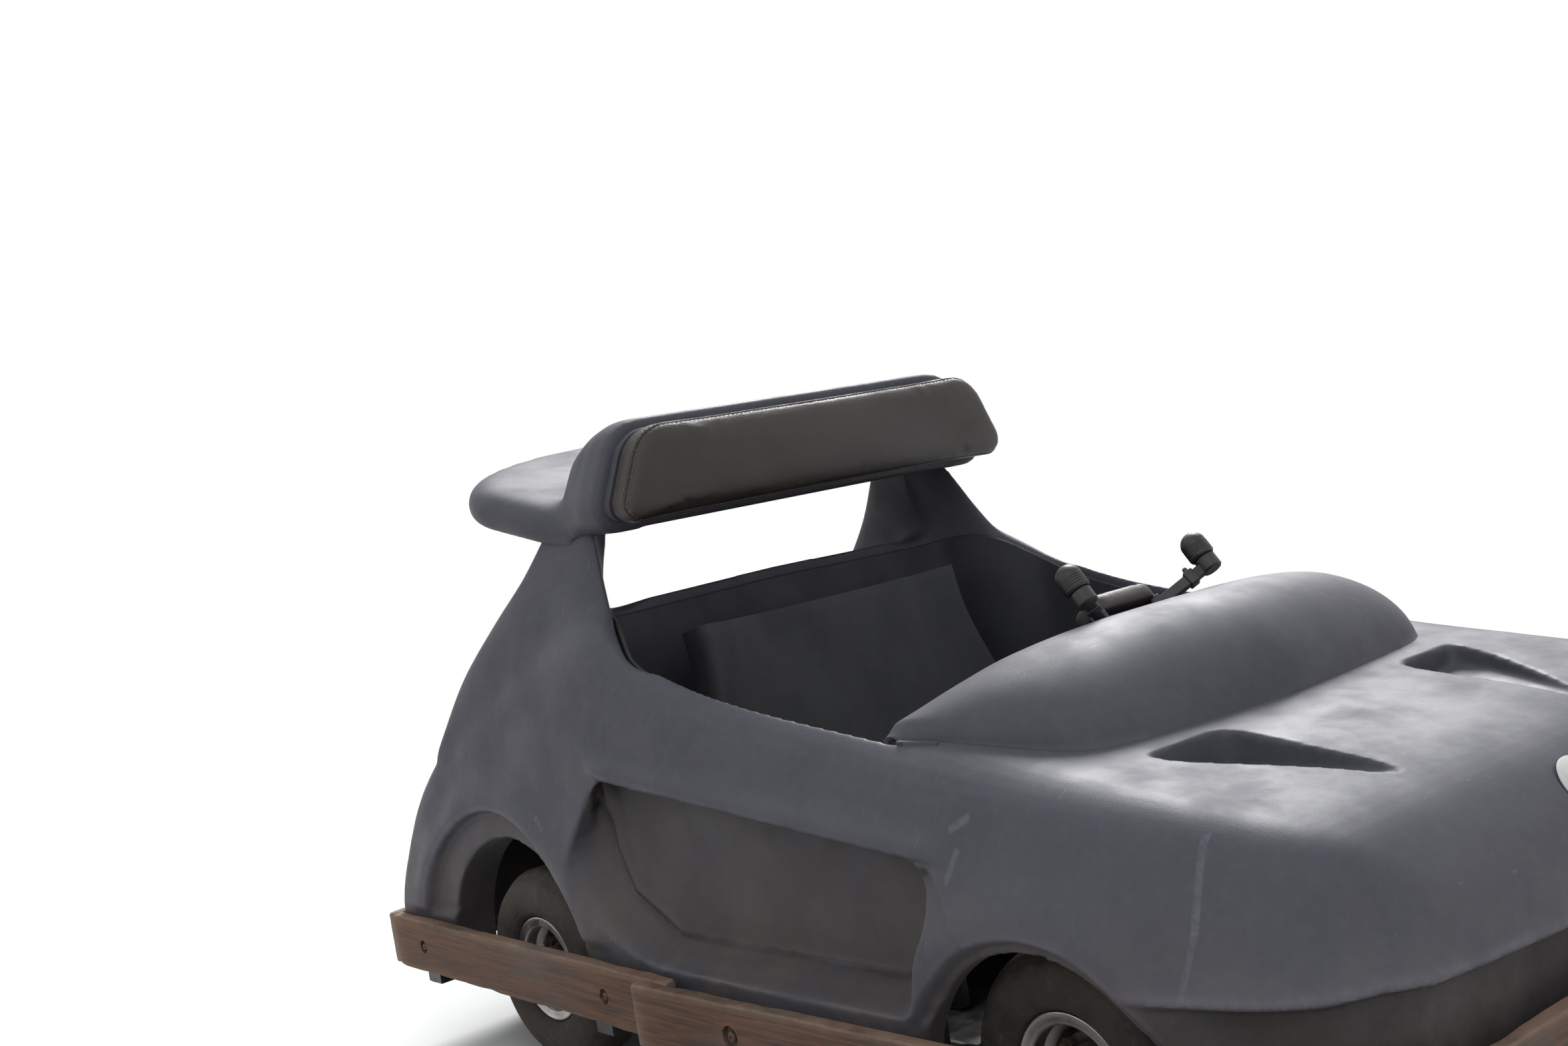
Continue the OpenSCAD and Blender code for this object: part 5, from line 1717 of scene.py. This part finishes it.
# ---------------------------------------------------------------- fittings and finishes

# Distance ahead, distance from the middle and height of the frame's bolts on one side
FRAME_BOLTS = ((-36, 0.220, 0.1332), (36, 0.220, 0.1332), (-232, 0.226, 0.1372), (-148, 0.226, 0.1372),
               (890, 0.070, 0.1812), (920, 0.070, 0.1812), (1090, 0.034, 0.2152), (1010, 0.034, 0.2152))


class RIDECAR_OT_fittings(bpy.types.Operator):
    """Pale nose disc, pedal pads, battery terminals, motor fins, floor ribs and small bolts"""

    bl_idname = "ridecar.fittings"
    bl_label = "Small fittings"

    def execute(self, context):
        profile = [(CORE, 0.0004), (0.0325, 0.0004), (0.034, 0.0014), (0.0338, 0.0028), (0.0325, 0.0036),
                   (0.018, 0.0041), (CORE, 0.0042)]
        disc = spin("nose_disc_plate", profile, 72, (0, 0, 0), "Z")
        dress(shade(place(disc, disc_matrix()), 40), pale_disc(), "car", ["nose_disc"])
        for y, node in ((-150, "accelerator"), (150, "brake")):
            self.pedal_pad(node, y)
        self.motor()
        self.battery()
        self.floor()
        self.bolts()
        return {"FINISHED"}

    def pedal_pad(self, name, y):
        low, high = Vector((ahead(1096), y * MM, 0.250)), Vector((ahead(1080), y * MM, 0.300))
        up = (high - low).normalized()
        out = up.cross(Vector((0, 1, 0))).normalized()
        if out.x > 0:
            out = -out
        axes = Matrix((Vector((0, 1, 0)), up, out)).transposed().to_4x4()
        turn = Matrix.Translation((low + high) / 2) @ axes
        parts = [box_piece("sole", (-0.034, -0.028, 0.0043), (0.034, 0.028, 0.0073), 0.001)]
        for k in range(7):
            at = -0.024 + 0.008 * k
            parts.append(box_piece("rib", (-0.031, at - 0.0018, 0.0070),
                                   (0.031, at + 0.0018, 0.0092), 0.0008))
        pad = place(join(f"{name}_pad_rubber", parts), turn)
        dress(shade(fix_normals(pad), 35), black_rubber(), "car")

    def motor(self):
        z, r = 0.200, 0.0722
        parts = []
        for k in range(9):
            w = -0.080 + 0.020 * k
            parts.append(spin("fin", [(r, w - 0.0016), (r + 0.0045, w - 0.0012), (r + 0.0045, w + 0.0012),
                                      (r, w + 0.0016)], 64, (ahead(-190), 0, z)))
        for s in (-1, 1):
            parts.append(spin("end_cap", [(0.0004, s * 0.1102), (0.056, s * 0.1102), (0.060, s * 0.1132),
                                          (0.058, s * 0.1162), (0.020, s * 0.1182), (0.0004, s * 0.1182)],
                              56, (ahead(-190), 0, z)))
        fins = join("motor_fins", parts)
        dress(shade(fix_normals(fins), 35), motor_paint(), "car")

    def battery(self):
        parts, posts = [], []
        for y in (-105, 105):
            parts.append(box_piece("lid", (ahead(26), (y - 88) * MM, 0.2985),
                                   (ahead(132), (y + 88) * MM, 0.3045), 0.002))
            vent = [(CORE, 0.3045), (0.0085, 0.3045), (0.0085, 0.3072), (0.007, 0.3082), (CORE, 0.3082)]
            for k in range(6):
                parts.append(spin("vent_cap", vent, 20, (ahead(79), (y - 62 + 25 * k) * MM, 0), "Z"))
            post = [(CORE, 0.3046), (0.010, 0.3046), (0.009, 0.3160), (0.0075, 0.3172), (CORE, 0.3172)]
            for s in (-1, 1):
                posts.append(spin("post", post, 24, (ahead(52), (y + s * 66) * MM, 0), "Z"))
        lids = shade(fix_normals(join("battery_lids", parts)), 35)
        dress(lids, case_plastic(), "car")
        posts = shade(fix_normals(join("battery_posts", posts)), 35)
        dress(posts, metal("lead_posts", (0.24, 0.24, 0.25), 0.5, 0.2), "car")

    def floor(self):
        parts = []
        for k in range(6):
            y = (-250 + 100 * k) * MM
            parts.append(box_piece("floor_bead", (ahead(720), y - 0.006, 0.1281),
                                   (ahead(796), y + 0.006, 0.1302), 0.001))
        ribs = join("floor_beads", parts)
        dress(shade(fix_normals(ribs), 35), floor_metal(), "car")

    def bolts(self):
        places = [(ahead(d), s * y, z) for s in (-1, 1) for d, y, z in FRAME_BOLTS]
        group = repeat("frame_bolts", bolt_unit(0.0078, 0.0052), places, [facing((0, 0, 1))] * len(places),
                       bolt_metal())
        dress(group, bolt_metal(), "car")


@functools.cache
def case_plastic():
    f = Finish("battery_case", roughness=0.55, specular=0.4)
    f.colour(f.mix(f.cloud(18, 6, 0.6, 0.35, 0.7), (0.022, 0.022, 0.025), (0.060, 0.054, 0.050)))
    f.rough(f.cloud(30, 5, 0.5, 0.3, 0.7, 0.45, 0.7))
    f.bumpy((f.noise(500, 2), 0.0003, 0.4))
    return f.material


FINISHES = {
    "floor_pan": floor_metal, "chassis_frame": black_paint, "front_axle_beam": black_paint,
    "knuckle_right": shaft_metal, "knuckle_left": shaft_metal, "tie_rod": shaft_metal,
    "drop_arm": shaft_metal, "steering_gearbox": shaft_metal, "column_support": black_paint,
    "steering_column": shaft_metal,
    "rear_axle": shaft_metal, "axle_bearings": black_paint, "drive_motor": motor_paint,
    "battery_pack": case_plastic, "accelerator_pedal": black_paint, "brake_pedal": black_paint,
}


class RIDECAR_OT_finishes(bpy.types.Operator):
    """Procedural finishes for the frame, axles and other parts that keep their solids"""

    bl_idname = "ridecar.finishes"
    bl_label = "Frame finishes"

    def execute(self, context):
        for name, finish in FINISHES.items():
            obj = NODES[name]
            if not obj.data.materials:
                obj.data.materials.append(finish())
            for place_in in obj.material_slots:
                place_in.material = finish()
        left = [n for n, obj in NODES.items() if not obj.hide_render and n not in FINISHES]
        if left:
            raise RuntimeError(f"no finish for {left}")
        return {"FINISHED"}


# ---------------------------------------------------------------- stage and main


# Strength of the surround's light at the horizon and overhead
SKY_LOW, SKY_HIGH = 0.16, 0.92
# Name, place it shines from, strength, spread in degrees
LAMPS = (("key", (-2.2, 3.0, 2.9), 3.3, 22), ("fill", (3.0, -3.2, 3.4), 0.35, 60))
FLOOR_HALF = 14.0
# The camera as it was solved: place in metres, yaw, pitch and roll in radians, then the focal length
# and the picture's width in pixels
CAMERA_AT = (1.845, -1.794, 0.859)
CAMERA_TURN = 2.45729, 0.05179, -0.16300
FOCAL_PIXELS, WIDTH_PIXELS = 2871.7, 2350


class RIDECAR_OT_stage(bpy.types.Operator):
    """Pale floor and backdrop, soft lights and the camera"""

    bl_idname = "ridecar.stage"
    bl_label = "Stage"

    def execute(self, context):
        scene = bpy.context.scene
        scene.view_settings.view_transform = "Standard"
        corners = [(x * FLOOR_HALF, y * FLOOR_HALF, 0) for x, y in ((-1, -1), (1, -1), (1, 1), (-1, 1))]
        floor = mesh_object("floor", corners, [(0, 1, 2, 3)])
        floor.data.materials.append(self.floor_finish())
        self.studio(scene)
        for name, at, power, spread in LAMPS:
            data = bpy.data.lights.new(name, "SUN")
            data.energy, data.angle = power, math.radians(spread)
            lamp = bpy.data.objects.new(name, data)
            scene.collection.objects.link(lamp)
            lamp.location = at
            lamp.rotation_euler = (-Vector(at)).to_track_quat("-Z", "Y").to_euler()
        camera = bpy.data.objects.new("camera", bpy.data.cameras.new("camera"))
        scene.collection.objects.link(camera)
        camera.data.sensor_width = 36
        camera.data.lens = 36 * FOCAL_PIXELS / WIDTH_PIXELS
        camera.data.clip_end = 60
        yaw, pitch, roll = CAMERA_TURN
        forward = Vector((math.cos(yaw) * math.cos(pitch), math.sin(yaw) * math.cos(pitch), -math.sin(pitch)))
        right = forward.cross(Vector((0, 0, 1))).normalized()
        up = right.cross(forward)
        c, s = math.cos(roll), math.sin(roll)
        right, up = c * right + s * up, -s * right + c * up
        turn = Matrix((right, up, -forward)).transposed().to_4x4()
        camera.matrix_world = Matrix.Translation(CAMERA_AT) @ turn
        scene.camera = camera
        return {"FINISHED"}

    def seen(self, tree):
        """1 for what the camera, a gloss or a clear piece sees, 0 for light that spreads."""
        path = tree.nodes.new("ShaderNodeLightPath")
        value = path.outputs["Is Camera Ray"]
        for other in ("Is Glossy Ray", "Is Transmission Ray"):
            most = tree.nodes.new("ShaderNodeMath")
            most.operation = "MAXIMUM"
            tree.links.new(value, most.inputs[0])
            tree.links.new(path.outputs[other], most.inputs[1])
            value = most.outputs[0]
        return value

    def studio(self, scene):
        """A white surround whose spread light is brighter overhead."""
        world = bpy.data.worlds.new("studio")
        scene.world = world
        world.use_nodes = True
        tree = world.node_tree
        plain = tree.nodes["Background"]
        plain.inputs["Color"].default_value = (0.93, 0.96, 1.0, 1)
        coords, parts, level = (tree.nodes.new(k) for k in (
            "ShaderNodeTexCoord", "ShaderNodeSeparateXYZ", "ShaderNodeMapRange"))
        for key, number in (("From Min", 0), ("From Max", 1), ("To Min", SKY_LOW), ("To Max", SKY_HIGH)):
            level.inputs[key].default_value = number
        white = tree.nodes.new("ShaderNodeBackground")
        white.inputs["Color"].default_value = (1, 1, 1, 1)
        blend = tree.nodes.new("ShaderNodeMixShader")
        for a, b in ((coords.outputs["Generated"], parts.inputs[0]),
                     (parts.outputs[2], level.inputs["Value"]),
                     (level.outputs["Result"], plain.inputs["Strength"]), (self.seen(tree), blend.inputs[0]),
                     (plain.outputs[0], blend.inputs[1]), (white.outputs[0], blend.inputs[2]),
                     (blend.outputs[0], tree.nodes["World Output"].inputs["Surface"])):
            tree.links.new(a, b)

    def floor_finish(self):
        """Pale floor that keeps the shadow and fades into the white surround far away."""
        f = Finish("pale_floor", roughness=0.9, specular=0.1)
        pale = f.mix(f.noise(3, 4), (0.80, 0.80, 0.79), (0.83, 0.83, 0.82))
        f.colour(f.mix(self.seen(f.tree), (0.34, 0.33, 0.32), pale))
        length = f.tree.nodes.new("ShaderNodeVectorMath")
        length.operation = "LENGTH"
        f.link(f.coords, length.inputs[0])
        glow, blend = f.tree.nodes.new("ShaderNodeEmission"), f.tree.nodes.new("ShaderNodeMixShader")
        far = f.between(length.outputs["Value"], 1.6, 4.5)
        f.link(f.math("MULTIPLY", far, self.seen(f.tree)), blend.inputs[0])
        f.link(f.shader.outputs[0], blend.inputs[1])
        f.link(glow.outputs[0], blend.inputs[2])
        f.link(blend.outputs[0], f.tree.nodes["Material Output"].inputs["Surface"])
        return f.material


STEPS = (RIDECAR_OT_stage, RIDECAR_OT_body_shell, RIDECAR_OT_cowl, RIDECAR_OT_spoiler,
         RIDECAR_OT_headrest_pad, RIDECAR_OT_cockpit, RIDECAR_OT_planks, RIDECAR_OT_wheels,
         RIDECAR_OT_yoke, RIDECAR_OT_fittings, RIDECAR_OT_finishes)


class RIDECAR_PT_panel(bpy.types.Panel):
    """Lists the car's settings and its building steps"""

    bl_idname = "RIDECAR_PT_panel"
    bl_label = "Ride Car"
    bl_space_type = "VIEW_3D"
    bl_region_type = "UI"
    bl_category = "Ride Car"

    def draw(self, context):
        for settings in (context.scene.ride_car_body, context.scene.ride_car_trim):
            for key in settings.__annotations__:
                self.layout.prop(settings, key)
        for step in STEPS:
            self.layout.operator(step.bl_idname)


CLASSES = (CarBodySettings, CarTrimSettings, *STEPS, RIDECAR_PT_panel)


def register():
    for cls in CLASSES:
        bpy.utils.register_class(cls)
    bpy.types.Scene.ride_car_body = bpy.props.PointerProperty(type=CarBodySettings)
    bpy.types.Scene.ride_car_trim = bpy.props.PointerProperty(type=CarTrimSettings)


def unregister():
    del bpy.types.Scene.ride_car_body
    del bpy.types.Scene.ride_car_trim
    for cls in reversed(CLASSES):
        bpy.utils.unregister_class(cls)


def main():
    register()
    for step in STEPS:
        group, name = step.bl_idname.split(".")
        getattr(getattr(bpy.ops, group), name)()


if __name__ == "__main__":
    main()
